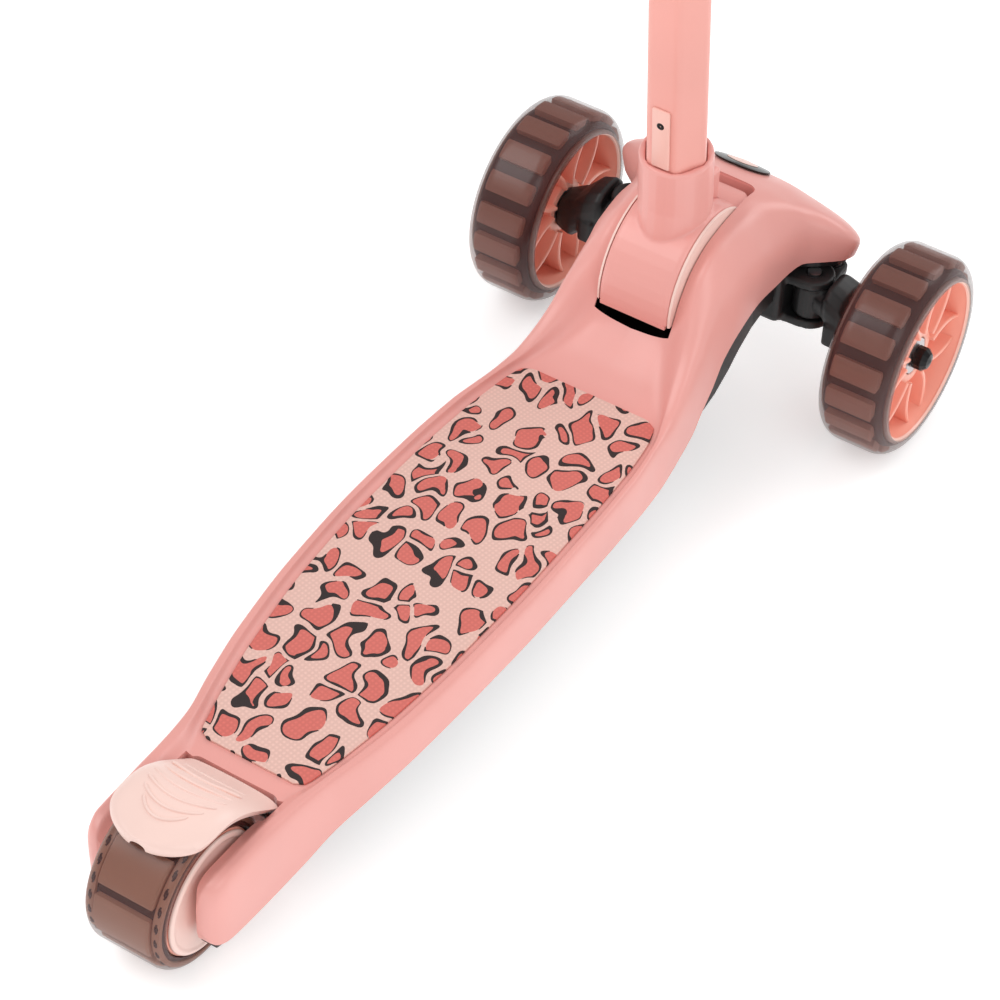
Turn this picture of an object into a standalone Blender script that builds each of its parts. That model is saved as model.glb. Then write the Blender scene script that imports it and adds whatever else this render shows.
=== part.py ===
"""Three-wheeled lean-to-steer kick scooter for a small child.

Frame: +X is the rider's right, +Y is forward, +Z is up. The origin is on the ground
under the middle of the object. All lengths below are in millimetres.
"""
import math

import bmesh
import bpy
from mathutils import Matrix, Vector

MM = 0.001
GAP = 0.3                   # free play between pieces that touch

# Wheels
FRONT_Y = 254.0
FRONT_R = 60.0
FRONT_X = 116.0             # middle plane of each front wheel
FRONT_HALF = 21.5           # half width of a front tyre
REAR_Y = -270.4
REAR_R = 43.6
REAR_HALF = 23.2
RIM_R = 50.0                # outside of a front rim
REAR_RIM_R = 34.5
BEARING_R = 11.0
BEARING_HALF = 3.5
AXLE_R = 4.0

# Folding stem. Distances along the stem start at STEM_FOOT.
HINGE = Vector((0.0, 196.5, 104.5))
STEM_FOOT = Vector((0.0, 199.2, 88.4))
RAKE = math.radians(5.9)
UP = Vector((0.0, -math.sin(RAKE), math.cos(RAKE)))
BACK = Vector((0.0, -math.cos(RAKE), -math.sin(RAKE)))
DRUM_R = 44.0
DRUM_HALF = 21.6
DRUM_FROM = -8.0            # angles of the drum's ends, from +Y towards +Z
DRUM_TO = 187.0
TRIM_X = 23.2
TRIM_R = 43.2
POCKET_REAR = 152.6
POCKET_FRONT = 246.0
COLLAR_R = 20.6
COLLAR_TOP = 102.0
HEX_R = 18.6
HEX_START = 66.0
HEX_END = 350.0
INNER_R = 12.7
INNER_START = 180.0
CLAMP_R = 23.5
CLAMP_FROM = 318.0
CLAMP_TO = 358.0
CLAMP_BOLT_AT = 338.0
CLAMP_BOLT_BACK = 30.0
LEVER_X = 16.5              # the lever swings on a barrel through the bolt's end
BAR_AT = 600.0
BAR_HALF = 157.0
BAR_R = 11.0
GRIP_R = 15.5
GRIP_START = 56.0

# Steering
KINGPIN_X = 60.0
KINGPIN_R = 4.0
BRIDGE_LOW = 55.0
BRIDGE_HIGH = 89.6
BARREL_LOW = 62.0
BARREL_HIGH = 83.0
TIE_Y = 284.0
TIE_X = KINGPIN_X
TIE_Z = 66.0

# Fender brake
FENDER_PIN = (-224.5, 61.5)

# Body shell: along Y, the height of the deck in the middle, then the half width and height
# of the rim's foot, its crest, the outer shoulder and the lower edge.
SHELL = (
    (-291.0, 50.0, 26.0, 50.0, 29.5, 57.0, 32.0, 51.0, 31.0, 40.0),
    (-289.0, 56.0, 26.5, 62.0, 31.5, 67.0, 36.0, 60.0, 35.0, 33.0),
    (-285.0, 60.0, 27.0, 67.0, 33.0, 71.0, 38.7, 64.0, 38.0, 29.5),
    (-277.0, 62.0, 27.0, 69.5, 34.0, 73.0, 40.0, 67.0, 39.5, 27.5),
    (-250.0, 63.0, 27.0, 68.5, 34.5, 73.0, 40.5, 67.0, 40.5, 26.5),
    (-222.0, 63.5, 27.0, 64.5, 36.0, 70.5, 41.5, 66.0, 42.0, 28.0),
    (-200.0, 64.5, 33.5, 64.5, 39.0, 69.0, 43.6, 65.5, 44.5, 33.0),
    (-174.0, 66.0, 39.5, 66.0, 45.0, 70.0, 49.3, 66.5, 50.0, 38.5),
    (-140.0, 68.0, 45.5, 68.0, 51.0, 72.0, 55.2, 68.5, 55.8, 43.5),
    (-86.0, 71.0, 51.0, 71.0, 56.0, 75.0, 60.0, 71.5, 60.3, 47.0),
    (-30.0, 72.0, 53.0, 72.0, 58.0, 76.0, 61.8, 72.5, 62.0, 47.5),
    (20.0, 71.5, 52.5, 71.5, 57.3, 75.5, 61.2, 72.0, 61.6, 46.5),
    (60.0, 70.0, 51.0, 70.0, 55.5, 74.3, 59.5, 70.5, 60.0, 44.5),
    (95.0, 68.7, 47.5, 68.7, 51.0, 73.0, 54.8, 69.5, 57.0, 42.0),
    (112.0, 69.5, 42.5, 70.0, 46.5, 75.0, 52.8, 70.5, 54.5, 41.5),
    (128.0, 74.5, 34.5, 75.5, 42.0, 82.5, 50.0, 77.0, 52.0, 42.0),
    (142.0, 82.0, 28.0, 84.0, 38.5, 93.0, 47.8, 86.0, 50.0, 44.0),
    (148.0, 86.0, 26.0, 89.0, 37.0, 99.5, 47.0, 91.0, 49.2, 47.5),
    (153.0, 89.5, 25.0, 95.0, 36.0, 105.5, 46.5, 96.0, 48.8, 52.0),
    (163.0, 112.0, 24.5, 115.5, 34.0, 117.0, 45.5, 104.0, 48.5, 61.0),
    (174.0, 126.0, 24.5, 128.5, 33.5, 128.5, 45.0, 111.0, 48.5, 75.0),
    (190.0, 135.5, 24.5, 136.5, 33.5, 135.5, 46.5, 117.0, 48.5, 84.0),
    (210.0, 140.0, 25.0, 139.5, 35.0, 136.5, 48.0, 118.5, 48.5, 90.0),
    (228.0, 141.0, 27.0, 140.0, 37.0, 134.5, 49.0, 115.5, 49.8, 91.5),
    (240.0, 139.5, 29.0, 138.0, 41.0, 132.5, 51.0, 115.5, 51.5, 93.5),
    (249.0, 137.0, 31.0, 135.0, 45.5, 129.5, 55.0, 114.5, 54.0, 94.5),
    (256.0, 134.5, 34.0, 131.5, 53.0, 125.0, 63.5, 113.0, 62.0, 95.0),
    (261.0, 132.6, 38.0, 128.5, 59.0, 122.5, 70.0, 111.0, 68.5, 95.5),
    (266.0, 130.2, 39.5, 126.0, 63.0, 119.5, 74.5, 109.5, 73.0, 95.5),
    (272.0, 127.0, 40.0, 122.5, 64.5, 116.0, 75.8, 107.0, 74.5, 95.0),
    (280.0, 121.0, 38.0, 117.0, 61.5, 110.5, 73.0, 102.5, 72.5, 92.5),
    (287.0, 111.5, 34.0, 108.5, 53.0, 103.0, 65.0, 95.0, 65.5, 85.0),
    (293.0, 99.0, 30.0, 96.5, 45.0, 92.0, 54.5, 84.0, 55.5, 70.0),
    (297.0, 84.0, 27.0, 83.0, 38.0, 80.0, 46.0, 73.0, 46.5, 61.0),
    (298.5, 76.0, 24.0, 76.0, 33.0, 73.0, 39.0, 67.0, 39.5, 59.0),
)
SHELL_WALL = 3.0

PINK = (0.80, 0.33, 0.28)
PALE_PINK = (0.86, 0.56, 0.49)
BLACK = (0.012, 0.012, 0.013)
STEEL = (0.55, 0.56, 0.58)
SMOKE = (0.13, 0.055, 0.045)


# ---------------------------------------------------------------- building tools

def clear_scene():
    for old in list(bpy.data.objects):
        bpy.data.objects.remove(old, do_unlink=True)


def material(name, colour, roughness, metallic=0.0):
    made = bpy.data.materials.get(name)
    if made is None:
        made = bpy.data.materials.new(name)
        made.use_nodes = True
        shader = made.node_tree.nodes["Principled BSDF"]
        shader.inputs["Base Color"].default_value = (*colour, 1.0)
        shader.inputs["Roughness"].default_value = roughness
        shader.inputs["Metallic"].default_value = metallic
    return made


FINISHES = {
    "shell": (PINK, 0.35, 0.0),
    "pale": (PALE_PINK, 0.4, 0.0),
    "black": (BLACK, 0.45, 0.0),
    "rim": (PINK, 0.4, 0.0),
    "tyre": (SMOKE, 0.3, 0.0),
    "mat": (PALE_PINK, 0.7, 0.0),
    "steel": (STEEL, 0.35, 1.0),
    "rubber": (BLACK, 0.8, 0.0),
}


def new_object(name, mesh_data, finish):
    """Turn a bmesh in millimetres into a named object with its finish."""
    bmesh.ops.scale(mesh_data, vec=(MM, MM, MM), verts=mesh_data.verts)
    bmesh.ops.recalc_face_normals(mesh_data, faces=mesh_data.faces)
    mesh = bpy.data.meshes.new(name)
    mesh_data.to_mesh(mesh)
    mesh_data.free()
    mesh.materials.append(material("finish_" + finish, *FINISHES[finish]))
    mesh.shade_smooth()
    mesh.set_sharp_from_angle(angle=math.radians(35.0))
    obj = bpy.data.objects.new(name, mesh)
    bpy.context.collection.objects.link(obj)
    return obj


def loft(name, loops, finish="shell"):
    """Closed solid through equal loops of points, with flat ends."""
    made = bmesh.new()
    rings = [[made.verts.new(p) for p in loop] for loop in loops]
    count = len(rings[0])
    for low, high in zip(rings, rings[1:]):
        for i in range(count):
            j = (i + 1) % count
            made.faces.new((low[i], low[j], high[j], high[i]))
    made.faces.new(rings[0])
    made.faces.new(rings[-1][::-1])
    return new_object(name, made, finish)


def ring_loft(name, loops, finish="shell"):
    """Closed solid whose last loop joins its first, such as a turned ring."""
    made = bmesh.new()
    rings = [[made.verts.new(p) for p in loop] for loop in loops]
    count = len(rings[0])
    for low, high in zip(rings, rings[1:] + rings[:1]):
        for i in range(count):
            j = (i + 1) % count
            made.faces.new((low[i], low[j], high[j], high[i]))
    return new_object(name, made, finish)


def axis_frame(axis):
    """Two directions across an axis."""
    axis = Vector(axis).normalized()
    side = Vector((0.0, 0.0, 1.0)) if abs(axis.z) < 0.9 else Vector((0.0, 1.0, 0.0))
    first = (side - axis * side.dot(axis)).normalized()
    return axis, first, axis.cross(first)


def turned(name, centre, axis, profile, finish, steps=32):
    """Turn a profile of (distance along the axis, radius) points into a solid or a ring."""
    axis, first, second = axis_frame(axis)
    centre = Vector(centre)
    solid = min(r for _, r in profile) < 1e-6
    inner = [p for p in profile if p[1] > 1e-6]
    loops = []
    for k in range(steps):
        a = 2.0 * math.pi * k / steps
        out = first * math.cos(a) + second * math.sin(a)
        loops.append([centre + axis * t + out * r for t, r in inner])
    if not solid:
        return ring_loft(name, loops, finish)
    made = bmesh.new()
    rings = [[made.verts.new(p) for p in loop] for loop in loops]
    for low, high in zip(rings, rings[1:] + rings[:1]):
        for i in range(len(inner) - 1):
            made.faces.new((low[i], low[i + 1], high[i + 1], high[i]))
    made.faces.new([ring[0] for ring in rings])
    made.faces.new([ring[-1] for ring in rings][::-1])
    return new_object(name, made, finish)


def rod(name, start, end, radius, finish, steps=20, chamfer=0.0):
    """Round rod between two points."""
    start, end = Vector(start), Vector(end)
    length = (end - start).length
    c = chamfer
    if c:
        profile = [(0.0, 0.0), (0.0, radius - c), (c, radius), (length - c, radius), (length, radius - c),
                   (length, 0.0)]
    else:
        profile = [(0.0, 0.0), (0.0, radius), (length, radius), (length, 0.0)]
    return turned(name, start, end - start, profile, finish, steps)


def tube(name, start, end, outer, inner, finish, steps=24):
    """Round tube between two points, open at both ends."""
    start, end = Vector(start), Vector(end)
    length = (end - start).length
    profile = [(0.0, outer), (length, outer), (length, inner), (0.0, inner)]
    return turned(name, start, end - start, profile, finish, steps)


def block(name, low, high, finish, round_by=0.0, segments=2):
    """Box between two corners, with rounded edges."""
    low, high = Vector(low), Vector(high)
    made = bmesh.new()
    size = high - low
    place = Matrix.Translation((low + high) / 2.0) @ Matrix.Diagonal((*size, 1.0))
    bmesh.ops.create_cube(made, size=1.0, matrix=place)
    if round_by:
        bmesh.ops.bevel(made, geom=list(made.edges), offset=round_by, offset_type="OFFSET",
                        segments=segments, profile=0.5, affect="EDGES", clamp_overlap=True)
    return new_object(name, made, finish)


def prism(name, outline, low, high, finish, axis="Z"):
    """Solid with a flat outline, along Z (outline in X, Y) or along X (outline in Y, Z)."""
    if axis == "Z":
        loops = [[(a, b, h) for a, b in outline] for h in (low, high)]
    else:
        loops = [[(h, a, b) for a, b in outline] for h in (low, high)]
    return loft(name, loops, finish)


def apply_boolean(target, other, operation):
    step = target.modifiers.new("boolean", "BOOLEAN")
    step.operation = operation
    step.solver = "EXACT"
    step.object = other
    bpy.context.view_layer.update()
    evaluated = target.evaluated_get(bpy.context.evaluated_depsgraph_get())
    mesh = bpy.data.meshes.new_from_object(evaluated)
    target.modifiers.clear()
    target.data = mesh
    mesh.name = target.name
    bpy.data.objects.remove(other, do_unlink=True)


def cut(target, *cutters):
    for other in cutters:
        apply_boolean(target, other, "DIFFERENCE")


def join(target, *others):
    for other in others:
        apply_boolean(target, other, "UNION")


def arc(centre_a, centre_b, radius, start, end, steps):
    """Points of an arc in a plane, angles in degrees."""
    points = []
    for k in range(steps + 1):
        a = math.radians(start + (end - start) * k / steps)
        points.append((centre_a + radius * math.cos(a), centre_b + radius * math.sin(a)))
    return points


def along(distance, x=0.0, back=0.0):
    """Point at a distance up the stem's axis, moved sideways by x or backwards by back."""
    return STEM_FOOT + UP * distance + BACK * back + Vector((x, 0.0, 0.0))


def stem_loop(distance, outline):
    """Outline of (x, back) points laid across the stem."""
    return [along(distance, x, back) for x, back in outline]


def oval(half_x, half_back, steps=24):
    angles = [2.0 * math.pi * k / steps for k in range(steps)]
    return [(half_x * math.sin(a), half_back * math.cos(a)) for a in angles]


def hexagon(radius, corner):
    """Hexagon with a flat towards the rider, its corners cut back by a small flat."""
    points = []
    for k in range(6):
        a = math.radians(30.0 + 60.0 * k)
        here = Vector((radius * math.sin(a), radius * math.cos(a)))
        for turn in (-1.0, 1.0):
            towards = a + turn * math.radians(60.0)
            there = Vector((radius * math.sin(towards), radius * math.cos(towards)))
            points.append(tuple(here + (there - here).normalized() * corner))
    return points


# ---------------------------------------------------------------- body shell

def smooth(points, per_span):
    """Catmull-Rom curve through the points."""
    ends = [points[0]] + list(points) + [points[-1]]
    out = []
    for i in range(len(points) - 1):
        p0, p1, p2, p3 = (Vector(p) for p in ends[i:i + 4])
        for k in range(per_span):
            t = k / per_span
            out.append(0.5 * (2.0 * p1 + (p2 - p0) * t + (2.0 * p0 - 5.0 * p1 + 4.0 * p2 - p3) * t * t
                              + (3.0 * p1 - p0 - 3.0 * p2 + p3) * t ** 3))
    out.append(Vector(points[-1]))
    return out


def station(y):
    """Shell values at any Y, eased between the stations either side."""
    rows = SHELL
    i = max(k for k in range(len(rows) - 1) if rows[k][0] <= y or k == 0)
    before, here = rows[max(i - 1, 0)], rows[i]
    after, beyond = rows[i + 1], rows[min(i + 2, len(rows) - 1)]
    span = after[0] - here[0]
    t = min(max((y - here[0]) / span, 0.0), 1.0)
    values = []
    for c in range(1, len(here)):
        slope = (after[c] - here[c]) / span
        left = (here[c] - before[c]) / (here[0] - before[0]) if here[0] > before[0] else slope
        right = (beyond[c] - after[c]) / (beyond[0] - after[0]) if beyond[0] > after[0] else slope
        m0, m1 = limited(left, slope) * span, limited(slope, right) * span
        values.append((2 * t ** 3 - 3 * t * t + 1) * here[c] + (t ** 3 - 2 * t * t + t) * m0
                      + (3 * t * t - 2 * t ** 3) * after[c] + (t ** 3 - t * t) * m1)
    return values


def limited(a, b):
    """Slope that keeps a curve from overshooting."""
    return 0.0 if a * b <= 0.0 else 2.0 * a * b / (a + b)


def shell_section(y, per_span, inset=0.0, drop=0.0):
    """One closed cross-section of the shell, from the left lower edge over to the right."""
    zc, xf, zf, xk, zk, xs, zs, xl, zl = station(y)
    half = smooth([(0.0, zc), (xf * 0.6, zc + (zf - zc) * 0.3), (xf, zf), (xk, zk), (xs, zs), (xl, zl)],
                  per_span)
    right = []
    for i, p in enumerate(half):
        ahead = half[min(i + 1, len(half) - 1)]
        behind = half[max(i - 1, 0)]
        run = (ahead - behind).normalized()
        right.append((p[0] + run[1] * inset, p[1] - run[0] * inset))
    right[0] = (0.0, zc - inset)
    if drop:
        right.append((right[-1][0], zl - drop))
    left = [(-x, z) for x, z in right[:0:-1]]
    return [(x, y, z) for x, z in left + right]


def shell_stations(step):
    low, high = SHELL[0][0], SHELL[-1][0]
    stations = [row[0] for row in SHELL]
    filled = []
    for a, b in zip(stations, stations[1:]):
        count = max(1, round((b - a) / step))
        filled += [a + (b - a) * k / count for k in range(count)]
    return [y for y in filled if low <= y] + [high]


WHEEL_NOTCH_HALF = 26.2
NOTCH_FRONT = -217.0
FENDER_HALF = 28.5


def wheel_notch():
    """Outline of the gap between the fork arms, with rounded corners and a flared mouth."""
    w = WHEEL_NOTCH_HALF
    right = arc(w - 5.0, NOTCH_FRONT - 5.0, 5.0, 90.0, 0.0, 4)
    right += [(w, -283.0), (w + 0.8, -287.0), (w + 2.6, -290.0), (w + 5.0, -293.0), (w + 5.0, -300.0)]
    left = [(-x, y) for x, y in right[::-1]]
    return right + left


def hood_pocket():
    """Outline of the opening that the drum and the release button stand in."""
    w = TRIM_X + 0.6
    rear, front = POCKET_REAR, POCKET_FRONT
    corner = 6.0
    right = [(w, rear)] + arc(w - corner, front - corner, corner, 0.0, 90.0, 5)
    left = [(-x, y) for x, y in right[::-1]]
    return right + left


def build_shell():
    sections = [shell_section(y, 2) for y in shell_stations(19.0)]
    shell = loft("deck_shell", sections)
    inside = [y for y in shell_stations(24.0) if -200.0 <= y <= 288.0]
    cavity = loft("cavity", [shell_section(y, 1, SHELL_WALL, 9.0) for y in [-210.0] + inside])
    cut(shell, cavity)
    join(shell, block("front_wall", (-26.5, 240.0, 114.0), (26.5, 249.0, 134.5), "shell"))
    notch = prism("notch", wheel_notch(), 10.0, 110.0, "shell")
    pocket = prism("pocket", hood_pocket(), 50.0, 190.0, "shell")
    rebate = block("rebate", (-FENDER_HALF - 0.8, -236.0, 59.0), (FENDER_HALF + 0.8, -219.0, 90.0), "shell")
    axle = rod("axle_bore", (-36.5, REAR_Y, REAR_R), (36.5, REAR_Y, REAR_R), AXLE_R + GAP, "shell", 16)
    pin = rod("pin_bore", (-35.5, *FENDER_PIN), (35.5, *FENDER_PIN), 2.8, "shell", 12)
    hinge = rod("hinge_bore", (-37.5, *HINGE.yz), (37.5, *HINGE.yz), 5.5, "shell", 16)
    cut(shell, notch, pocket, rebate, axle, pin, hinge)
    return shell


def deck_height(y):
    return station(y)[0]


def mat_outline(inset, steps=15):
    """Half widths of the grip mat along the deck, from back to front."""
    rear, front = -206.0, 111.0
    rows = []
    for k in range(steps + 1):
        y = rear + (front - rear) * k / steps
        half = station(y)[1] - inset
        nose = max(0.0, 1.0 - (front - y) / 9.0)
        tail = max(0.0, 1.0 - (y - rear) / 9.0)
        rows.append((y, half - 8.0 * (nose ** 2 + tail ** 2)))
    return rows


def build_mat():
    """Thin rubbery sheet that follows the deck's gentle crown."""
    thick = 1.1
    loops = []
    for y, half in mat_outline(0.8, 24):
        low = deck_height(y) + GAP
        loops.append([(-half, y, low), (half, y, low), (half, y, low + thick), (-half, y, low + thick)])
    return loft("grip_mat", loops, "mat")


PAN = (
    (-205.0, 30.0), (-170.0, 34.5), (-120.0, 37.0), (-40.0, 37.0), (60.0, 37.0), (120.0, 37.0), (150.0, 37.0),
    (162.0, 37.0), (176.0, 40.5), (190.0, 48.0), (201.0, 56.0), (214.0, 63.0), (224.0, 67.0), (234.0, 69.5),
)
PAN_WALL = 2.2


def build_pan():
    """Tray under the deck; its sides reach up inside the shell."""
    outer, inner = [], []
    for y, low in PAN:
        values = station(y)
        half = values[7] - SHELL_WALL - 1.6
        top = values[8] + 3.0
        outer.append([(-half, y, top), (-half, y, low + 5.0), (-half + 5.0, y, low), (half - 5.0, y, low),
                      (half, y, low + 5.0), (half, y, top)])
        w = PAN_WALL
        inner.append([(-half + w, y, top + 5.0), (-half + w, y, low + 5.0 + w * 0.4),
                      (-half + 5.0 + w * 0.4, y, low + w), (half - 5.0 - w * 0.4, y, low + w),
                      (half - w, y, low + 5.0 + w * 0.4), (half - w, y, top + 5.0)])
    first, last = inner[0], inner[-1]
    inner[0] = [(x, y + PAN_WALL, z) for x, y, z in first]
    inner[-1] = [(x, y + 4.0, z) for x, y, z in last]
    pan = loft("belly_pan", outer, "black")
    cut(pan, loft("tray", inner, "black"))
    return pan


def build_underplate():
    """Black plate that closes the underside of the hood's wings."""
    front = [(y, station(y)[7] - 3.8) for y in (252.0, 256.0, 260.0, 265.0, 271.0, 277.0)]
    right = [(36.0, 247.0), (44.0, 247.0)] + [(x, y) for y, x in front] + [(36.0, 279.0)]
    plates = []
    for side, name in ((-1.0, "underplate_left"), (1.0, "underplate_right")):
        outline = [(side * x, y) for x, y in right]
        plates.append(prism(name, outline, 90.2, 94.8, "black"))
    return plates


def build_bridge():
    """Cast cross beam with a fork at each end for the kingpins."""
    beam = block("front_bridge", (-49.0, 236.5, BRIDGE_LOW), (49.0, 271.0, BRIDGE_HIGH), "black", 4.0)
    for side in (-1.0, 1.0):
        for low, high in ((BRIDGE_LOW + 0.7, BARREL_LOW - 0.8), (BARREL_HIGH + 0.8, BRIDGE_HIGH - 0.7)):
            outline = [(side * 40.0, FRONT_Y - 14.0)]
            outline += [(side * a, b) for a, b in arc(KINGPIN_X, FRONT_Y, 12.0, -90.0, 90.0, 8)]
            outline += [(side * 40.0, FRONT_Y + 14.0)]
            join(beam, prism("lug", outline, low, high, "black"))
        bore = rod("bore", (side * KINGPIN_X, FRONT_Y, 40.0), (side * KINGPIN_X, FRONT_Y, 100.0),
                   KINGPIN_R + GAP, "black", 16)
        cut(beam, bore)
    return beam


def build_knuckle(side, name):
    """Steering arm that turns on the kingpin and carries the wheel's axle bolt."""
    x0 = side * KINGPIN_X
    knuckle = rod(name, (x0, FRONT_Y, BARREL_LOW), (x0, FRONT_Y, BARREL_HIGH), 10.5, "black", 20)
    sections = (
        (66.0, 66.0, 82.0, 10.0), (72.4, 66.0, 82.2, 12.5), (73.2, 65.0, 88.8, 13.5),
        (76.0, 62.0, 89.4, 15.0), (84.0, 57.0, 86.0, 16.0),
        (93.0, 48.0, 76.0, 15.5), (99.0, 48.0, 73.0, 13.0), (103.4, 49.0, 71.0, 11.0),
    )
    loops = []
    for x, low, high, deep in sections:
        mid, tall = (low + high) / 2.0, (high - low) / 2.0
        loop = []
        for k in range(16):
            a = 2.0 * math.pi * (k + 0.5) / 16
            ca, sa = math.cos(a), math.sin(a)
            square = (abs(ca) ** 3 + abs(sa) ** 3) ** (-1.0 / 3.0)
            loop.append((side * x, FRONT_Y + deep * ca * square, mid + tall * sa * square))
        loops.append(loop)
    join(knuckle, loft("arm", loops, "black"))
    lug = block("lug", (side * 76.0, FRONT_Y - 17.0, 54.0), (side * 86.0, FRONT_Y - 4.0, 70.0), "black", 2.0)
    outline = [(side * (TIE_X - 7.5), FRONT_Y + 6.0), (side * (TIE_X + 7.5), FRONT_Y + 6.0)]
    outline += [(side * a, b) for a, b in arc(TIE_X, TIE_Y, 6.0, 0.0, 180.0, 6)]
    steer = prism("steer", outline, BARREL_LOW + 6.5, BARREL_LOW + 12.0, "black")
    join(knuckle, lug, steer)
    bore = rod("bore", (x0, FRONT_Y, 40.0), (x0, FRONT_Y, 100.0), KINGPIN_R + GAP, "black", 16)
    tie = rod("tie", (side * TIE_X, TIE_Y, 55.0), (side * TIE_X, TIE_Y, 80.0), 2.5 + GAP, "black", 12)
    axle = rod("axle", (side * 84.0, FRONT_Y, FRONT_R), (side * 110.0, FRONT_Y, FRONT_R),
               AXLE_R + GAP, "black", 16)
    cut(knuckle, bore, tie, axle)
    return knuckle


def build_tie_rod():
    """Flat link with an upright stud at each end."""
    low, high = TIE_Z - 4.5, TIE_Z - 0.5
    outline = arc(TIE_X, TIE_Y, 5.0, -90.0, 90.0, 6) + arc(-TIE_X, TIE_Y, 5.0, 90.0, 270.0, 6)
    link = prism("tie_rod", outline, low, high, "steel")
    for side in (-1.0, 1.0):
        x = side * TIE_X
        join(link, rod("stud", (x, TIE_Y, low + 1.0), (x, TIE_Y, 76.5), 2.5, "steel", 12))
    return link


def build_steering():
    build_bridge()
    build_underplate()
    for side, word in ((-1.0, "left"), (1.0, "right")):
        build_knuckle(side, "knuckle_" + word)
        x = side * KINGPIN_X
        turned("kingpin_" + word, (x, FRONT_Y, 0.0), (0.0, 0.0, 1.0),
               [(52.0, 0.0), (52.0, 6.5), (54.6, 6.5), (54.6, KINGPIN_R), (89.5, KINGPIN_R), (89.5, 0.0)],
               "steel", 16)
    build_tie_rod()


# ---------------------------------------------------------------- wheels

def wheel_ring(name, centre, profile, finish, steps):
    return turned(name, centre, (1.0, 0.0, 0.0), profile, finish, steps)


def tyre_profile(half, crown, outer, inner):
    """Tyre section: flat crown, rounded shoulders, bore."""
    shoulder = half - crown
    right = [(crown + shoulder * math.sin(a), outer - shoulder + shoulder * math.cos(a))
             for a in (math.radians(d) for d in (0, 30, 60, 90))]
    top = [(-t, r) for t, r in right[::-1]] + right
    return top + [(half - 1.2, inner), (-half + 1.2, inner)]


def build_front_wheel(side, word):
    centre = (side * FRONT_X, FRONT_Y, FRONT_R)
    wheel_ring("tyre_" + word, centre, tyre_profile(FRONT_HALF, 9.7, FRONT_R, RIM_R + GAP), "tyre", 30)
    hub, web, edge = 12.0, 3.5, 19.8
    profile = [(-edge, RIM_R), (edge, RIM_R), (edge, 46.5), (web, 44.0), (web, 19.0), (hub, 17.5),
               (hub, BEARING_R + GAP), (-hub, BEARING_R + GAP), (-hub, 17.5), (-web, 19.0), (-web, 44.0),
               (-edge, 46.5)]
    rim = wheel_ring("rim_" + word, centre, profile, "rim", 25)
    for k in range(5):
        a = 2.0 * math.pi * k / 5
        y, z = FRONT_Y + 31.5 * math.cos(a), FRONT_R + 31.5 * math.sin(a)
        x = side * FRONT_X
        cut(rim, rod("window", (x - 8.0, y, z), (x + 8.0, y, z), 9.5, "rim", 10))
    for t, end in ((8.3, "outer"), (-8.3, "inner")):
        at = (side * (FRONT_X + t), FRONT_Y, FRONT_R)
        wheel_ring("bearing_%s_%s" % (word, end), at, bearing_profile(), "steel", 12)
    core = [(-4.4, 9.0), (4.4, 9.0), (4.4, AXLE_R + GAP), (-4.4, AXLE_R + GAP)]
    wheel_ring("light_core_" + word, centre, core, "steel", 12)
    start, end = 90.0 - FRONT_X, 15.5
    axle = [(start, 0.0), (start, AXLE_R), (end, AXLE_R), (end, 0.0)]
    if side < 0.0:
        axle = [(-t, r) for t, r in axle[::-1]]
    wheel_ring("axle_bolt_" + word, centre, axle, "steel", 16)
    build_nut("hub_nut_" + word, (side * (FRONT_X + 12.6), FRONT_Y, FRONT_R), side)


def bearing_profile():
    h = BEARING_HALF
    return [(-h, BEARING_R), (h, BEARING_R), (h, AXLE_R + GAP), (-h, AXLE_R + GAP)]


def build_nut(name, start, side):
    """Domed lock nut on the end of an axle bolt, open where the bolt goes in."""
    profile = [(0.0, 7.0), (5.0, 7.0), (8.0, 4.5), (9.0, 0.0), (3.4, 0.0), (3.4, AXLE_R + GAP),
               (0.0, AXLE_R + GAP)]
    return capped(name, start, (side, 0.0, 0.0), profile, "black", 12)


def capped(name, start, axis, profile, finish, steps):
    """Turned cup: the profile touches the axis twice, outside and inside."""
    axis, first, second = axis_frame(axis)
    start = Vector(start)
    made = bmesh.new()
    rings = []
    tips = {i: made.verts.new(start + axis * t) for i, (t, r) in enumerate(profile) if r < 1e-6}
    for k in range(steps):
        a = 2.0 * math.pi * k / steps
        out = first * math.cos(a) + second * math.sin(a)
        rings.append([tips.get(i) or made.verts.new(start + axis * t + out * r)
                      for i, (t, r) in enumerate(profile)])
    count = len(profile)
    for low, high in zip(rings, rings[1:] + rings[:1]):
        for i in range(count):
            j = (i + 1) % count
            if i in tips and j in tips:
                continue
            corners = [low[i], low[j], high[j], high[i]]
            made.faces.new(list(dict.fromkeys(corners)))
    return new_object(name, made, finish)


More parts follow.
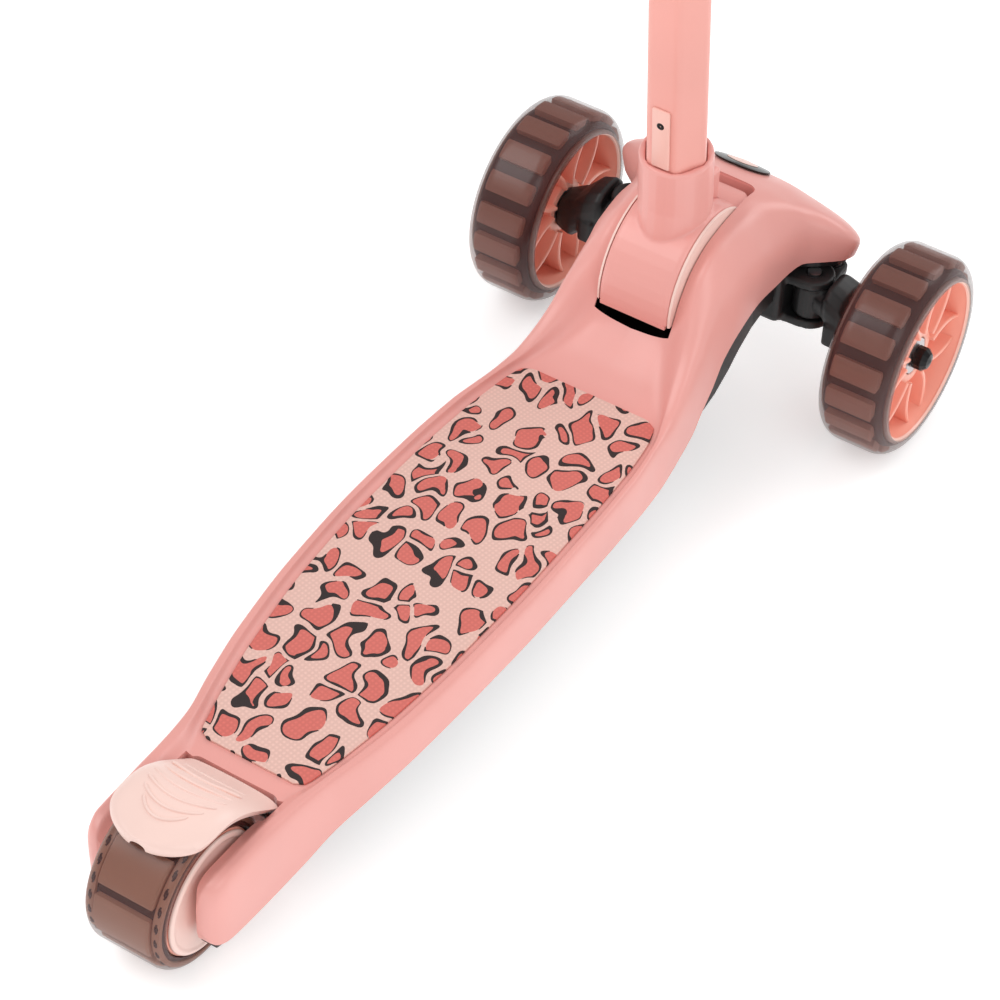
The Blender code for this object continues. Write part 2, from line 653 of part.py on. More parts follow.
def build_rear_wheel():
    centre = (0.0, REAR_Y, REAR_R)
    wheel_ring("rear_tyre", centre, tyre_profile(REAR_HALF, 15.7, REAR_R, REAR_RIM_R + GAP), "tyre", 28)
    hub, web, edge = 20.0, 4.0, 21.5
    profile = [(-edge, REAR_RIM_R), (edge, REAR_RIM_R), (edge, 31.0), (web, 29.0), (web, 19.0), (hub, 16.5),
               (hub, BEARING_R + GAP), (-hub, BEARING_R + GAP), (-hub, 16.5), (-web, 19.0), (-web, 29.0),
               (-edge, 31.0)]
    wheel_ring("rear_rim", centre, profile, "rim", 22)
    for side, word in ((-1.0, "left"), (1.0, "right")):
        at = (side * 16.3, REAR_Y, REAR_R)
        wheel_ring("rear_bearing_" + word, at, bearing_profile(), "steel", 12)
        disc = [(21.9, 33.2), (23.6, 32.6), (24.2, 9.0), (24.2, AXLE_R + GAP), (20.4, AXLE_R + GAP),
                (20.4, 10.0), (21.9, 12.0)]
        if side < 0.0:
            disc = [(-t, r) for t, r in disc[::-1]]
        wheel_ring("rear_hub_disc_" + word, centre, disc, "pale", 22)
    spacer = [(-12.4, 7.0), (12.4, 7.0), (12.4, AXLE_R + GAP), (-12.4, AXLE_R + GAP)]
    wheel_ring("rear_spacer", centre, spacer, "steel", 16)
    rod("rear_axle", (-36.2, REAR_Y, REAR_R), (36.2, REAR_Y, REAR_R), AXLE_R, "steel", 16)


FENDER = (
    (-221.5, 67.5, 28.0), (-226.0, 71.0, 28.3), (-233.0, 77.0, 28.5), (-244.0, 86.0, 28.5),
    (-254.0, 92.0, 28.5), (-263.0, 94.8, 28.3), (-273.0, 95.4, 28.0), (-281.0, 94.9, 27.4),
    (-286.0, 94.5, 26.5), (-291.0, 94.2, 24.5), (-294.5, 94.0, 20.0), (-296.0, 93.8, 15.0),
)
FENDER_THICK = 3.4


def fender_section(y, top, half, per_side=4):
    """Crowned cross-section with a short skirt at each edge."""
    skirt = 6.5 if -283.0 < y < -230.0 else 4.2
    upper, lower = [], []
    for k in range(-per_side, per_side + 1):
        u = k / per_side
        upper.append((half * u, y, top - 1.6 * u * u - 3.4 * abs(u) ** 9))
        inner = half - (2.6 if abs(u) == 1.0 else 1.4)
        hang = 0.5 if abs(u) < 1.0 else skirt - 1.5
        lower.append((inner * u, y, top - FENDER_THICK - 1.6 * u * u - hang))
    return lower + upper[::-1]


def build_fender():
    """Foot brake: a crowned cover over the rear wheel on a hinge barrel."""
    y0, z0 = FENDER_PIN
    fender = loft("fender_brake", [fender_section(*row) for row in FENDER], "pale")
    barrel = rod("barrel", (-19.5, y0, z0), (19.5, y0, z0), 4.6, "pale", 16)
    web = block("web", (-17.0, y0 - 4.0, z0), (17.0, y0 + 2.5, z0 + 6.5), "pale")
    join(fender, barrel, web)
    relief = rod("relief", (19.8, y0, z0), (26.2, y0, z0), 5.2, "pale", 16)
    cut(fender, rod("bore", (-30.0, y0, z0), (30.0, y0, z0), 2.8, "pale", 12), relief)
    rod("fender_pin", (-35.0, y0, z0), (35.0, y0, z0), 2.5, "steel", 12)
    turned("fender_spring", (20.2, y0, z0), (1.0, 0.0, 0.0), [(0.0, 4.4), (5.4, 4.4), (5.4, 2.9), (0.0, 2.9)],
           "steel", 16)
    return fender


def build_fork_covers():
    for side, word in ((-1.0, "left"), (1.0, "right")):
        loops = []
        for y in (-286.0, -282.0, -276.0, -250.0, -222.0):
            low = station(y)[8]
            section = ((28.0, low - 0.4), (37.0, low - 0.4), (37.0, low - 2.4), (28.0, low - 2.4))
            loops.append([(side * x, y, z) for x, z in section])
        loft("fork_cover_" + word, loops, "black")


# ---------------------------------------------------------------- folding stem

def sector(radius, inner, steps=22):
    """Drum outline in Y and Z about the hinge: a rounded back and a small hub below."""
    y0, z0 = HINGE.y, HINGE.z
    outline = arc(y0, z0, radius, DRUM_FROM, DRUM_TO, steps)
    return outline + arc(y0, z0, inner, 210.0, 330.0, 6)


def build_fold_block():
    """Folding drum, collar and socket for the stem tube, moulded as one piece."""
    hub = 13.0
    loops = []
    for x, r in ((-DRUM_HALF, DRUM_R - 0.8), (-DRUM_HALF + 3.0, DRUM_R), (DRUM_HALF - 3.0, DRUM_R),
                 (DRUM_HALF, DRUM_R - 0.8)):
        loops.append([(x, y, z) for y, z in sector(r, hub)])
    drum = loft("fold_block", loops, "shell")
    rings = ((50.0, 17.0, 24.0), (58.0, 19.0, 23.5), (64.0, 20.0, 22.5), (72.0, COLLAR_R, 21.0),
             (COLLAR_TOP - 1.2, COLLAR_R, COLLAR_R), (COLLAR_TOP, COLLAR_R - 1.0, COLLAR_R - 1.0))
    join(drum, loft("collar", [stem_loop(d, oval(a, b)) for d, a, b in rings], "shell"))
    socket = [stem_loop(d, hexagon(HEX_R + 0.45, 2.5)) for d in (HEX_START - 0.4, COLLAR_TOP + 4.0)]
    bore = hinge_rod("bore", 40.0, 5.3, "shell")
    groove = block("groove", (-10.4, 213.4, 128.0), (10.4, 226.0, 170.0), "shell")
    cut(drum, loft("socket", socket, "shell"), bore, groove)
    return drum


def build_fold_trims():
    """Thin pale side plate on each side of the drum."""
    for side, word in ((-1.0, "left"), (1.0, "right")):
        loops = []
        for x, r in ((DRUM_HALF + GAP, TRIM_R), (TRIM_X, TRIM_R - 0.5)):
            loops.append([(side * x, y, z) for y, z in sector(r, 13.0)])
        trim = loft("fold_trim_" + word, loops, "pale")
        cut(trim, hinge_rod("bore", 40.0, 5.3, "pale"))


def hinge_rod(name, half, radius, finish):
    """Rod on the fold hinge's axis."""
    side = Vector((half, 0.0, 0.0))
    return rod(name, HINGE - side, HINGE + side, radius, finish, 16)


def drum_point(radius, degrees, x=0.0):
    a = math.radians(degrees)
    return HINGE + Vector((x, radius * math.cos(a), radius * math.sin(a)))


def build_fold_hinge():
    hinge_rod("hinge_pin", 37.0, 5.0, "steel")
    rod("drum_seal", drum_point(40.3, 191.5, -18.0), drum_point(40.3, 191.5, 18.0), 2.4, "black", 12, 0.6)
    y0, z0 = HINGE.y, HINGE.z
    cheek = arc(y0, z0, 15.0, -20.0, 200.0, 12) + [(y0 - 6.0, 74.0), (212.0, 70.6), (228.0, 71.6),
                                                   (228.0, 76.0)]
    bracket = block("hinge_bracket", (-26.0, 213.0, 71.8), (26.0, 227.5, 74.2), "steel")
    for side in (-1.0, 1.0):
        low, high = sorted((side * (TRIM_X + 0.9), side * 26.0))
        join(bracket, prism("cheek", cheek, low, high, "steel", "X"))
    cut(bracket, hinge_rod("bore", 40.0, 5.3, "steel"))
    block("release_button", (-9.8, 214.3, 134.5), (9.8, 225.0, 160.0), "shell", 1.6)
    tube("release_spring", (0.0, 219.8, 128.4), (0.0, 219.8, 134.1), 3.6, 2.4, "steel", 16)


def build_stem_tube():
    """Hexagonal tube with a raised strip and its screw on the rider's side."""
    outer = hexagon(HEX_R, 2.4)
    tube_solid = loft("stem_tube", [stem_loop(d, outer) for d in (HEX_START, HEX_END)], "shell")
    hollow = oval(INNER_R + GAP, INNER_R + GAP)
    bore = loft("bore", [stem_loop(d, hollow) for d in (HEX_START - 5.0, HEX_END + 5.0)])
    cut(tube_solid, bore)
    flat = HEX_R * math.cos(math.radians(30.0))
    strip = [(-5.4, flat + GAP), (5.4, flat + GAP), (4.9, flat + 1.4), (-4.9, flat + 1.4)]
    low, high = COLLAR_TOP + 1.0, COLLAR_TOP + 42.0
    key = loft("key_strip", [stem_loop(d, strip) for d in (low, high)], "pale")
    at = COLLAR_TOP + 31.0
    for target in (key, tube_solid):
        cut(target, rod("hole", along(at, 0.0, 8.0), along(at, 0.0, 30.0), 2.5, "pale", 12))
    rod("stem_screw", along(at, 0.0, INNER_R + 0.8), along(at, 0.0, flat + 0.8), 2.1, "black", 12)


def build_clamp():
    """Quick-release clamp at the top of the hexagonal tube, with two lugs at the back."""
    rings = ((CLAMP_FROM, CLAMP_R - 1.5), (CLAMP_FROM + 1.5, CLAMP_R), (CLAMP_TO - 6.0, CLAMP_R),
             (CLAMP_TO, CLAMP_R - 6.0))
    ring = loft("clamp_collar", [stem_loop(d, oval(r, r)) for d, r in rings], "black")
    lug = [(-11.0, 17.0), (11.0, 17.0), (11.0, 36.0), (-11.0, 36.0)]
    join(ring, loft("lug", [stem_loop(d, lug) for d in (CLAMP_BOLT_AT - 9.0, CLAMP_BOLT_AT + 9.0)], "black"))
    wide, narrow = oval(HEX_R + 0.5, HEX_R + 0.5), oval(INNER_R + GAP, INNER_R + GAP)
    inside = loft("inside", [stem_loop(d, wide) for d in (CLAMP_FROM - 5.0, HEX_END + GAP)])
    bore = loft("bore", [stem_loop(d, narrow) for d in (HEX_END - 9.0, CLAMP_TO + 5.0)])
    slit = [(-1.5, 8.0), (1.5, 8.0), (1.5, 45.0), (-1.5, 45.0)]
    slot = loft("slit", [stem_loop(d, slit) for d in (CLAMP_FROM - 5.0, CLAMP_TO + 5.0)])
    hole = rod("hole", bolt_point(-20.0), bolt_point(20.0), 3.3, "black", 12)
    cut(ring, inside, bore, slot, hole)
    bolt = rod("clamp_bolt", bolt_point(-11.5), bolt_point(19.5), 3.0, "steel", 12)
    join(bolt, rod("head", bolt_point(-15.0), bolt_point(-11.3), 5.5, "steel", 6))
    join(bolt, lever_rod("barrel", 6.3, 2.2, "steel"))


def bolt_point(x):
    """Point on the axis of the clamp bolt."""
    return along(CLAMP_BOLT_AT, x, CLAMP_BOLT_BACK)


def lever_rod(name, half, radius, finish):
    """Rod on the lever's own axis, along the stem."""
    low, high = (along(CLAMP_BOLT_AT + d, LEVER_X, CLAMP_BOLT_BACK) for d in (-half, half))
    return rod(name, low, high, radius, finish, 12)


def build_lever():
    """Forked cam lever: closed, it lies along the side of the clamp."""
    eye = 5.1
    outline = arc(LEVER_X, CLAMP_BOLT_BACK, eye, 60.0, 250.0, 8)
    outline += [(22.5, 23.5), (26.5, 14.0), (28.8, 2.0), (28.0, -14.0), (31.0, -14.0), (33.0, 2.0),
                (31.0, 17.0), (26.0, 29.0)]
    lever = loft("clamp_lever", [stem_loop(CLAMP_BOLT_AT + d, outline) for d in (-6.5, 6.5)], "black")
    cut(lever, lever_rod("fork", 3.6, eye + 2.1, "black"), lever_rod("bore", 10.0, 2.2 + GAP, "black"))


def build_handlebar():
    """Inner tube with the cross bar welded on top, and a rubber grip on each end."""
    bar = rod("handlebar", along(INNER_START), along(BAR_AT), INNER_R, "steel", 24)
    join(bar, rod("cross", along(BAR_AT, -BAR_HALF), along(BAR_AT, BAR_HALF), BAR_R, "steel", 24))
    sleeve = rod("sleeve", along(BAR_AT - 26.0), along(BAR_AT + 15.5), INNER_R + 2.6, "steel", 24, 1.5)
    join(bar, sleeve)
    wall = 1.6
    cut(bar, rod("hollow", along(INNER_START - 5.0), along(BAR_AT - 14.0), INNER_R - wall, "steel", 24))
    ends = BAR_HALF + 5.0
    cut(bar, rod("hollow", along(BAR_AT, -ends), along(BAR_AT, ends), BAR_R - wall, "steel", 24))
    for side, word in ((-1.0, "left"), (1.0, "right")):
        length = BAR_HALF - GRIP_START + 4.0
        profile = [(0.0, BAR_R + GAP), (0.0, GRIP_R + 3.5), (4.0, GRIP_R + 3.5), (6.0, GRIP_R - 1.5),
                   (length * 0.5, GRIP_R), (length - 4.0, GRIP_R), (length - 3.0, GRIP_R + 2.0),
                   (length, GRIP_R + 0.5), (length + 0.5, 0.0), (length - 3.6, 0.0),
                   (length - 3.6, BAR_R + GAP)]
        capped("grip_" + word, along(BAR_AT, side * GRIP_START), (side, 0.0, 0.0), profile, "rubber", 16)


def build_emblem():
    """Plain oval badge that follows the front slope of the hood."""
    centre_y, half_x, half_y, steps = 270.5, 17.5, 9.5, 16
    made = bmesh.new()
    sheets = []
    for level in (0.8, 2.0):
        rings = []
        for size in (1.0, 0.66, 0.33):
            ring = []
            for k in range(steps):
                a = 2.0 * math.pi * k / steps
                x, y = size * half_x * math.cos(a), centre_y + size * half_y * math.sin(a)
                ring.append(made.verts.new((x, y, hood_height(x, y) + level)))
            rings.append(ring)
        centre = made.verts.new((0.0, centre_y, hood_height(0.0, centre_y) + level))
        for outer, inner in zip(rings, rings[1:]):
            for k in range(steps):
                j = (k + 1) % steps
                made.faces.new((outer[k], outer[j], inner[j], inner[k]))
        for k in range(steps):
            made.faces.new((rings[-1][k], rings[-1][(k + 1) % steps], centre))
        sheets.append(rings[0])
    for k in range(steps):
        j = (k + 1) % steps
        made.faces.new((sheets[0][k], sheets[0][j], sheets[1][j], sheets[1][k]))
    return new_object("emblem", made, "black")


def hood_height(x, y):
    """Height of the shell's outer surface over a point of the plan."""
    half = [p for p in shell_section(y, 12) if p[0] >= 0.0]
    for (xa, _, za), (xb, _, zb) in zip(half, half[1:]):
        if xa <= abs(x) <= xb:
            return za + (zb - za) * (abs(x) - xa) / (xb - xa)
    return half[0][2]


def main():
    clear_scene()
    build_shell()
    build_mat()
    build_pan()
    build_steering()
    for side, word in ((-1.0, "left"), (1.0, "right")):
        build_front_wheel(side, word)
    build_rear_wheel()
    build_fender()
    build_fork_covers()
    build_fold_block()
    build_fold_trims()
    build_fold_hinge()
    build_stem_tube()
    build_clamp()
    build_lever()
    build_handlebar()
    build_emblem()


main()
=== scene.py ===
"""Looks of a three-wheeled lean-to-steer kick scooter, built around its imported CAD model.

The part's frame has +X to the rider's right, +Y forward and +Z up. Shapes are written in
millimetres and scaled by MM; the frame's boxes, the lights and the camera are in metres.
"""
import math

import bmesh
import bpy
from mathutils import Matrix, Vector


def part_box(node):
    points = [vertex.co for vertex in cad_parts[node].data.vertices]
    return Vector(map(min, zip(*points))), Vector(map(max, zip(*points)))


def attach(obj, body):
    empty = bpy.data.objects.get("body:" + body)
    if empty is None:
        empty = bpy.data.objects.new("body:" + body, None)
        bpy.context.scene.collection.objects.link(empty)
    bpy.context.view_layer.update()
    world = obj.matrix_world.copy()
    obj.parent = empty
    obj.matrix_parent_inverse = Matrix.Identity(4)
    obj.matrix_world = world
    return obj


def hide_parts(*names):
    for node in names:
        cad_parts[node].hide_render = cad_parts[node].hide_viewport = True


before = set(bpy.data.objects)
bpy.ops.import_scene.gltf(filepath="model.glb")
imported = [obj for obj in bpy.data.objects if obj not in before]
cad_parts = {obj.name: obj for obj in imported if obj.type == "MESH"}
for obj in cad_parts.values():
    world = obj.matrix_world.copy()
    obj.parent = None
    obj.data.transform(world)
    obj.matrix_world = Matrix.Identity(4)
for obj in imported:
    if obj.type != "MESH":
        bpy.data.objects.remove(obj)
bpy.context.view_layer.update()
MM = 0.001
SIDES = ((-1.0, "left"), (1.0, "right"))
X_AXIS = (1.0, 0.0, 0.0)


def middle(node_name):
    """Centre of a CAD node, in millimetres."""
    low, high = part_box(node_name)
    return (Vector(low) + Vector(high)) / 2.0 / MM


def half_size(node_name, axis):
    """Half of a CAD node's extent along one axis, in millimetres."""
    low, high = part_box(node_name)
    return (high[axis] - low[axis]) / 2.0 / MM


def lin(red, green, blue):
    """Linear colour from 8-bit sRGB values."""
    def one(c):
        c /= 255.0
        return c / 12.92 if c <= 0.04045 else ((c + 0.055) / 1.055) ** 2.4
    return one(red), one(green), one(blue)


# ---------------------------------------------------------------- materials

SALMON = lin(232, 163, 155)
STEM_PINK = lin(239, 167, 156)
CREAM = lin(243, 210, 200)
RIM_SALMON = lin(250, 176, 156)
MAT_BASE = lin(232, 190, 178)
MAT_CORAL = lin(216, 112, 102)
INK = lin(40, 26, 26)
SMOKE = lin(88, 49, 44)
BLOCK_BROWN = lin(174, 118, 102)
GAP_BROWN = lin(58, 34, 36)
NEAR_BLACK = lin(24, 24, 25)
PRINT_WARP = 0.016              # how far noise may push the print, in metres


def principled(name, colour, roughness, metallic=0.0):
    """New material; returns it with its node tree and its Principled shader."""
    made = bpy.data.materials.new(name)
    made.use_nodes = True
    tree = made.node_tree
    shade = tree.nodes["Principled BSDF"]
    shade.inputs["Base Color"].default_value = (*colour, 1.0)
    shade.inputs["Roughness"].default_value = roughness
    shade.inputs["Metallic"].default_value = metallic
    return made, tree, shade


def node(tree, kind, **settings):
    made = tree.nodes.new("ShaderNode" + kind)
    for key, value in settings.items():
        setattr(made, key, value)
    return made


def place(tree):
    """Position on the piece, in metres."""
    return node(tree, "TexCoord").outputs["Object"]


def noise(tree, where, scale, detail=2.0):
    made = node(tree, "TexNoise")
    made.inputs["Scale"].default_value = scale
    made.inputs["Detail"].default_value = detail
    tree.links.new(where, made.inputs["Vector"])
    return made


def math_node(tree, operation, first, second):
    """Result of a Math node on two values; each may be a number or a socket."""
    made = node(tree, "Math", operation=operation)
    for slot, value in zip(made.inputs, (first, second)):
        if isinstance(value, (int, float)):
            slot.default_value = value
        else:
            tree.links.new(value, slot)
    return made.outputs[0]


def remap(tree, value, low, high, to_low, to_high):
    made = node(tree, "MapRange", clamp=True)
    limits = (("From Min", low), ("From Max", high), ("To Min", to_low), ("To Max", to_high))
    for name, number in limits:
        made.inputs[name].default_value = number
    tree.links.new(value, made.inputs["Value"])
    return made.outputs["Result"]


def blend_colour(tree, factor, first, second):
    """Mix of two colours; each may be a colour or a socket."""
    made = node(tree, "Mix", data_type="RGBA")
    tree.links.new(factor, made.inputs["Factor"])
    for slot, value in ((made.inputs[6], first), (made.inputs[7], second)):
        if isinstance(value, tuple):
            slot.default_value = (*value, 1.0)
        else:
            tree.links.new(value, slot)
    return made.outputs[2]


def shade_of(colour, factor):
    return tuple(min(1.0, c * factor) for c in colour)


def add_bump(tree, shade, height, strength, distance):
    made = node(tree, "Bump")
    made.inputs["Strength"].default_value = strength
    made.inputs["Distance"].default_value = distance
    tree.links.new(height, made.inputs["Height"])
    tree.links.new(made.outputs["Normal"], shade.inputs["Normal"])


def grained(name, colour, roughness, metallic=0.0, grain=1400.0, depth=0.00008, drift=0.05):
    """Moulded or cast surface: slow drift of colour, uneven gloss and a fine grain."""
    made, tree, shade = principled(name, colour, roughness, metallic)
    where = place(tree)
    broad = noise(tree, where, 9.0, 3.0).outputs["Fac"]
    tint = blend_colour(tree, remap(tree, broad, 0.3, 0.7, 0.0, 1.0), shade_of(colour, 1.0 - drift),
                        shade_of(colour, 1.0 + drift))
    tree.links.new(tint, shade.inputs["Base Color"])
    patches = noise(tree, where, 55.0, 4.0).outputs["Fac"]
    gloss = remap(tree, patches, 0.25, 0.75, roughness - 0.04, roughness + 0.06)
    tree.links.new(gloss, shade.inputs["Roughness"])
    add_bump(tree, shade, noise(tree, where, grain, 3.0).outputs["Fac"], 0.35, depth)
    return made


def brushed(name, colour, roughness):
    """Metal with fine drawn lines."""
    made, tree, shade = principled(name, colour, roughness, 1.0)
    stretch = node(tree, "Mapping")
    stretch.inputs["Scale"].default_value = (1.0, 1.0, 60.0)
    tree.links.new(place(tree), stretch.inputs["Vector"])
    lines = noise(tree, stretch.outputs["Vector"], 60.0, 4.0).outputs["Fac"]
    gloss = remap(tree, lines, 0.3, 0.7, roughness - 0.08, roughness + 0.12)
    tree.links.new(gloss, shade.inputs["Roughness"])
    tint = blend_colour(tree, lines, shade_of(colour, 0.88), shade_of(colour, 1.08))
    tree.links.new(tint, shade.inputs["Base Color"])
    add_bump(tree, shade, lines, 0.2, 0.00004)
    return made


def smoky_skin(name, colour, cover):
    """Clear tyre skin: part of what lies under it shows through."""
    made = grained(name, colour, 0.24, grain=500.0, depth=0.00004, drift=0.08)
    shade = made.node_tree.nodes["Principled BSDF"]
    shade.inputs["Alpha"].default_value = cover
    shade.inputs["Coat Weight"].default_value = 0.25
    shade.inputs["Coat Roughness"].default_value = 0.2
    return made


def warped_place(tree, flat):
    """Place on the mat, pushed about by noise so that the cells get irregular shapes."""
    wobble = node(tree, "VectorMath", operation="SUBTRACT")
    tree.links.new(noise(tree, flat, 70.0, 0.0).outputs["Color"], wobble.inputs[0])
    wobble.inputs[1].default_value = (0.5, 0.5, 0.5)
    push = node(tree, "VectorMath", operation="MULTIPLY")
    tree.links.new(wobble.outputs[0], push.inputs[0])
    push.inputs[1].default_value = (PRINT_WARP, PRINT_WARP, 0.0)
    warped = node(tree, "VectorMath", operation="ADD")
    tree.links.new(flat, warped.inputs[0])
    tree.links.new(push.outputs[0], warped.inputs[1])
    return warped.outputs[0]


def patch_margin(tree, flat):
    """How far inside its patch a point is, in cells: above 0 inside, below 0 outside."""
    warped = warped_place(tree, flat)
    nearest, lot = cell_pattern(tree, warped, "F1")
    border = cell_pattern(tree, warped, "DISTANCE_TO_EDGE")[0]
    round_part = math_node(tree, "SUBTRACT", remap(tree, lot, 0.0, 1.0, 0.30, 0.60), nearest)
    apart = math_node(tree, "SUBTRACT", border, 0.07)
    margin = node(tree, "Math", operation="SMOOTH_MIN")
    tree.links.new(round_part, margin.inputs[0])
    tree.links.new(apart, margin.inputs[1])
    margin.inputs[2].default_value = 0.2
    return margin.outputs[0]


def printed_mat():
    """Woven rubbery sheet with an animal print: coral patches in broken, hand-drawn outlines."""
    made, tree, shade = principled("mat_print", MAT_BASE, 0.62)
    where = place(tree)
    mapping = node(tree, "Mapping")
    mapping.inputs["Scale"].default_value = (1.0, 0.82, 0.0)
    tree.links.new(where, mapping.inputs["Vector"])
    flat = mapping.outputs["Vector"]
    margin = patch_margin(tree, flat)
    stroke = remap(tree, noise(tree, flat, 95.0, 0.0).outputs["Fac"], 0.3, 0.66, 0.025, 0.13)
    patch = math_node(tree, "GREATER_THAN", margin, stroke)
    inside = math_node(tree, "GREATER_THAN", margin, 0.0)
    drawn = math_node(tree, "GREATER_THAN", stroke, 0.034)
    outline = math_node(tree, "MULTIPLY", inside, drawn)
    weave = crossed_threads(tree, where)
    base = blend_colour(tree, weave, shade_of(MAT_BASE, 0.90), shade_of(MAT_BASE, 1.05))
    coral = blend_colour(tree, weave, shade_of(MAT_CORAL, 0.90), shade_of(MAT_CORAL, 1.06))
    inked = blend_colour(tree, outline, base, INK)
    whole = blend_colour(tree, patch, inked, coral)
    tree.links.new(whole, shade.inputs["Base Color"])
    add_bump(tree, shade, weave, 0.4, 0.0002)
    return made


def cell_pattern(tree, where, feature):
    """Distance and a per-cell random number of a flat cell pattern."""
    cells = node(tree, "TexVoronoi", voronoi_dimensions="2D", feature=feature)
    cells.inputs["Scale"].default_value = 60.0
    cells.inputs["Randomness"].default_value = 0.78
    tree.links.new(where, cells.inputs["Vector"])
    if feature != "F1":
        return cells.outputs["Distance"], None
    lot = node(tree, "SeparateColor")
    tree.links.new(cells.outputs["Color"], lot.inputs["Color"])
    return cells.outputs["Distance"], lot.outputs["Red"]


def crossed_threads(tree, where):
    """0 to 1 pattern of two crossed sets of fine threads."""
    turned = node(tree, "Mapping")
    turned.inputs["Rotation"].default_value = (0.0, 0.0, math.radians(12.0))
    tree.links.new(where, turned.inputs["Vector"])
    sets = []
    for direction in ("X", "Y"):
        wave = node(tree, "TexWave", wave_type="BANDS", bands_direction=direction)
        wave.inputs["Scale"].default_value = 125.0
        wave.inputs["Distortion"].default_value = 0.6
        tree.links.new(turned.outputs["Vector"], wave.inputs["Vector"])
        sets.append(wave.outputs["Fac"])
    return math_node(tree, "MULTIPLY", sets[0], sets[1])


SHELL_FINISH = grained("salmon_plastic", SALMON, 0.33)
DRUM_FINISH = grained("salmon_fold_plastic", shade_of(SALMON, 1.03), 0.33)
CREAM_FINISH = grained("cream_plastic", CREAM, 0.36)
BLACK_FINISH = grained("black_plastic", NEAR_BLACK, 0.46, grain=900.0, depth=0.00015, drift=0.12)
PAINT_FINISH = grained("stem_powder_coat", STEM_PINK, 0.34, grain=2200.0, depth=0.00006)
RIM_FINISH = grained("rim_plastic", RIM_SALMON, 0.34)
RIM_EDGE_FINISH = grained("rim_edge_plastic", lin(250, 205, 190), 0.34)
SKIN_FINISH = smoky_skin("tyre_skin", SMOKE, 0.46)
BLOCK_FINISH = grained("tyre_blocks", BLOCK_BROWN, 0.55, drift=0.1)
REAR_BLOCK_FINISH = grained("rear_tyre_blocks", lin(205, 148, 124), 0.5, drift=0.12)
GAP_FINISH = grained("tyre_core", GAP_BROWN, 0.5, drift=0.1)
RUBBER_FINISH = grained("soft_rubber", lin(34, 34, 36), 0.7, grain=700.0, depth=0.0002, drift=0.15)
BADGE_FINISH = grained("badge_black", NEAR_BLACK, 0.18)
STRIP_FINISH = grained("strip_plastic", lin(244, 192, 180), 0.36)
STEEL_FINISH = brushed("zinc_steel", (0.56, 0.57, 0.59), 0.34)
ALLOY_FINISH = brushed("bar_alloy", (0.78, 0.78, 0.79), 0.3)
NUT_FINISH = grained("black_oxide", NEAR_BLACK, 0.3, 0.6, drift=0.2)
MAT_FINISH = printed_mat()


# ---------------------------------------------------------------- building tools

def new_object(name, mesh_data):
    """Object in the scene from a bmesh in millimetres, with its faces turned outwards."""
    bmesh.ops.scale(mesh_data, vec=(MM, MM, MM), verts=mesh_data.verts)
    bmesh.ops.recalc_face_normals(mesh_data, faces=mesh_data.faces)
    mesh = bpy.data.meshes.new(name)
    mesh_data.to_mesh(mesh)
    mesh_data.free()
    obj = bpy.data.objects.new(name, mesh)
    bpy.context.collection.objects.link(obj)
    return obj


def add_piece(name, mesh_data, finish, body, stands_for=(), sharp=35.0):
    """Make an object from a bmesh, ride it on its body and hide the CAD nodes it stands for."""
    obj = new_object(name, mesh_data)
    finish_piece(obj, finish, sharp)
    enrol(obj, body, stands_for)
    return obj


def finish_piece(obj, finish, sharp=35.0):
    """One material, and smooth shading except at edges sharper than the angle."""
    obj.data.materials.clear()
    obj.data.materials.append(finish)
    obj.data.shade_smooth()
    obj.data.set_sharp_from_angle(angle=math.radians(sharp))


def enrol(obj, body, stands_for=()):
    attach(obj, body)
    if stands_for:
        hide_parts(*stands_for)


def lofted(loops, closed=False):
    """bmesh through equal closed loops; the ends are capped unless the last meets the first."""
    made = bmesh.new()
    rings = [[made.verts.new(p) for p in loop] for loop in loops]
    count = len(rings[0])
    follow = rings[1:] + rings[:1] if closed else rings[1:]
    for low, high in zip(rings, follow):
        for i in range(count):
            j = (i + 1) % count
            made.faces.new((low[i], low[j], high[j], high[i]))
    if not closed:
        made.faces.new(rings[0])
        made.faces.new(rings[-1][::-1])
    return made


def lathe(centre, axis, profile, steps=96):
    """Ring turned about an axis from (distance along it, radius) points, all in millimetres."""
    axis = Vector(axis).normalized()
    side = Vector((0.0, 0.0, 1.0)) if abs(axis.z) < 0.9 else Vector((0.0, 1.0, 0.0))
    first = (side - axis * side.dot(axis)).normalized()
    second = axis.cross(first)
    loops = []
    for k in range(steps):
        a = 2.0 * math.pi * k / steps
        out = first * math.cos(a) + second * math.sin(a)
        loops.append([Vector(centre) + axis * t + out * r for t, r in profile])
    return lofted(loops, closed=True)


def rounded(profile, radius=0.6, steps=3):
    """Closed profile with its corners rounded."""
    points = [Vector(p) for p in profile]
    out = []
    for i, here in enumerate(points):
        before, after = points[i - 1], points[(i + 1) % len(points)]
        reach = min(radius, (before - here).length * 0.45, (after - here).length * 0.45)
        start = here + (before - here).normalized() * reach
        end = here + (after - here).normalized() * reach
        for k in range(steps + 1):
            t = k / steps
            out.append(tuple(start * (1 - t) ** 2 + here * 2 * t * (1 - t) + end * t * t))
    return out


def tube_section(low, high, outer, inner, corner):
    """Wall of a tube as a profile for lathe, with rounded corners."""
    return rounded([(low, outer), (high, outer), (high, inner), (low, inner)], corner)


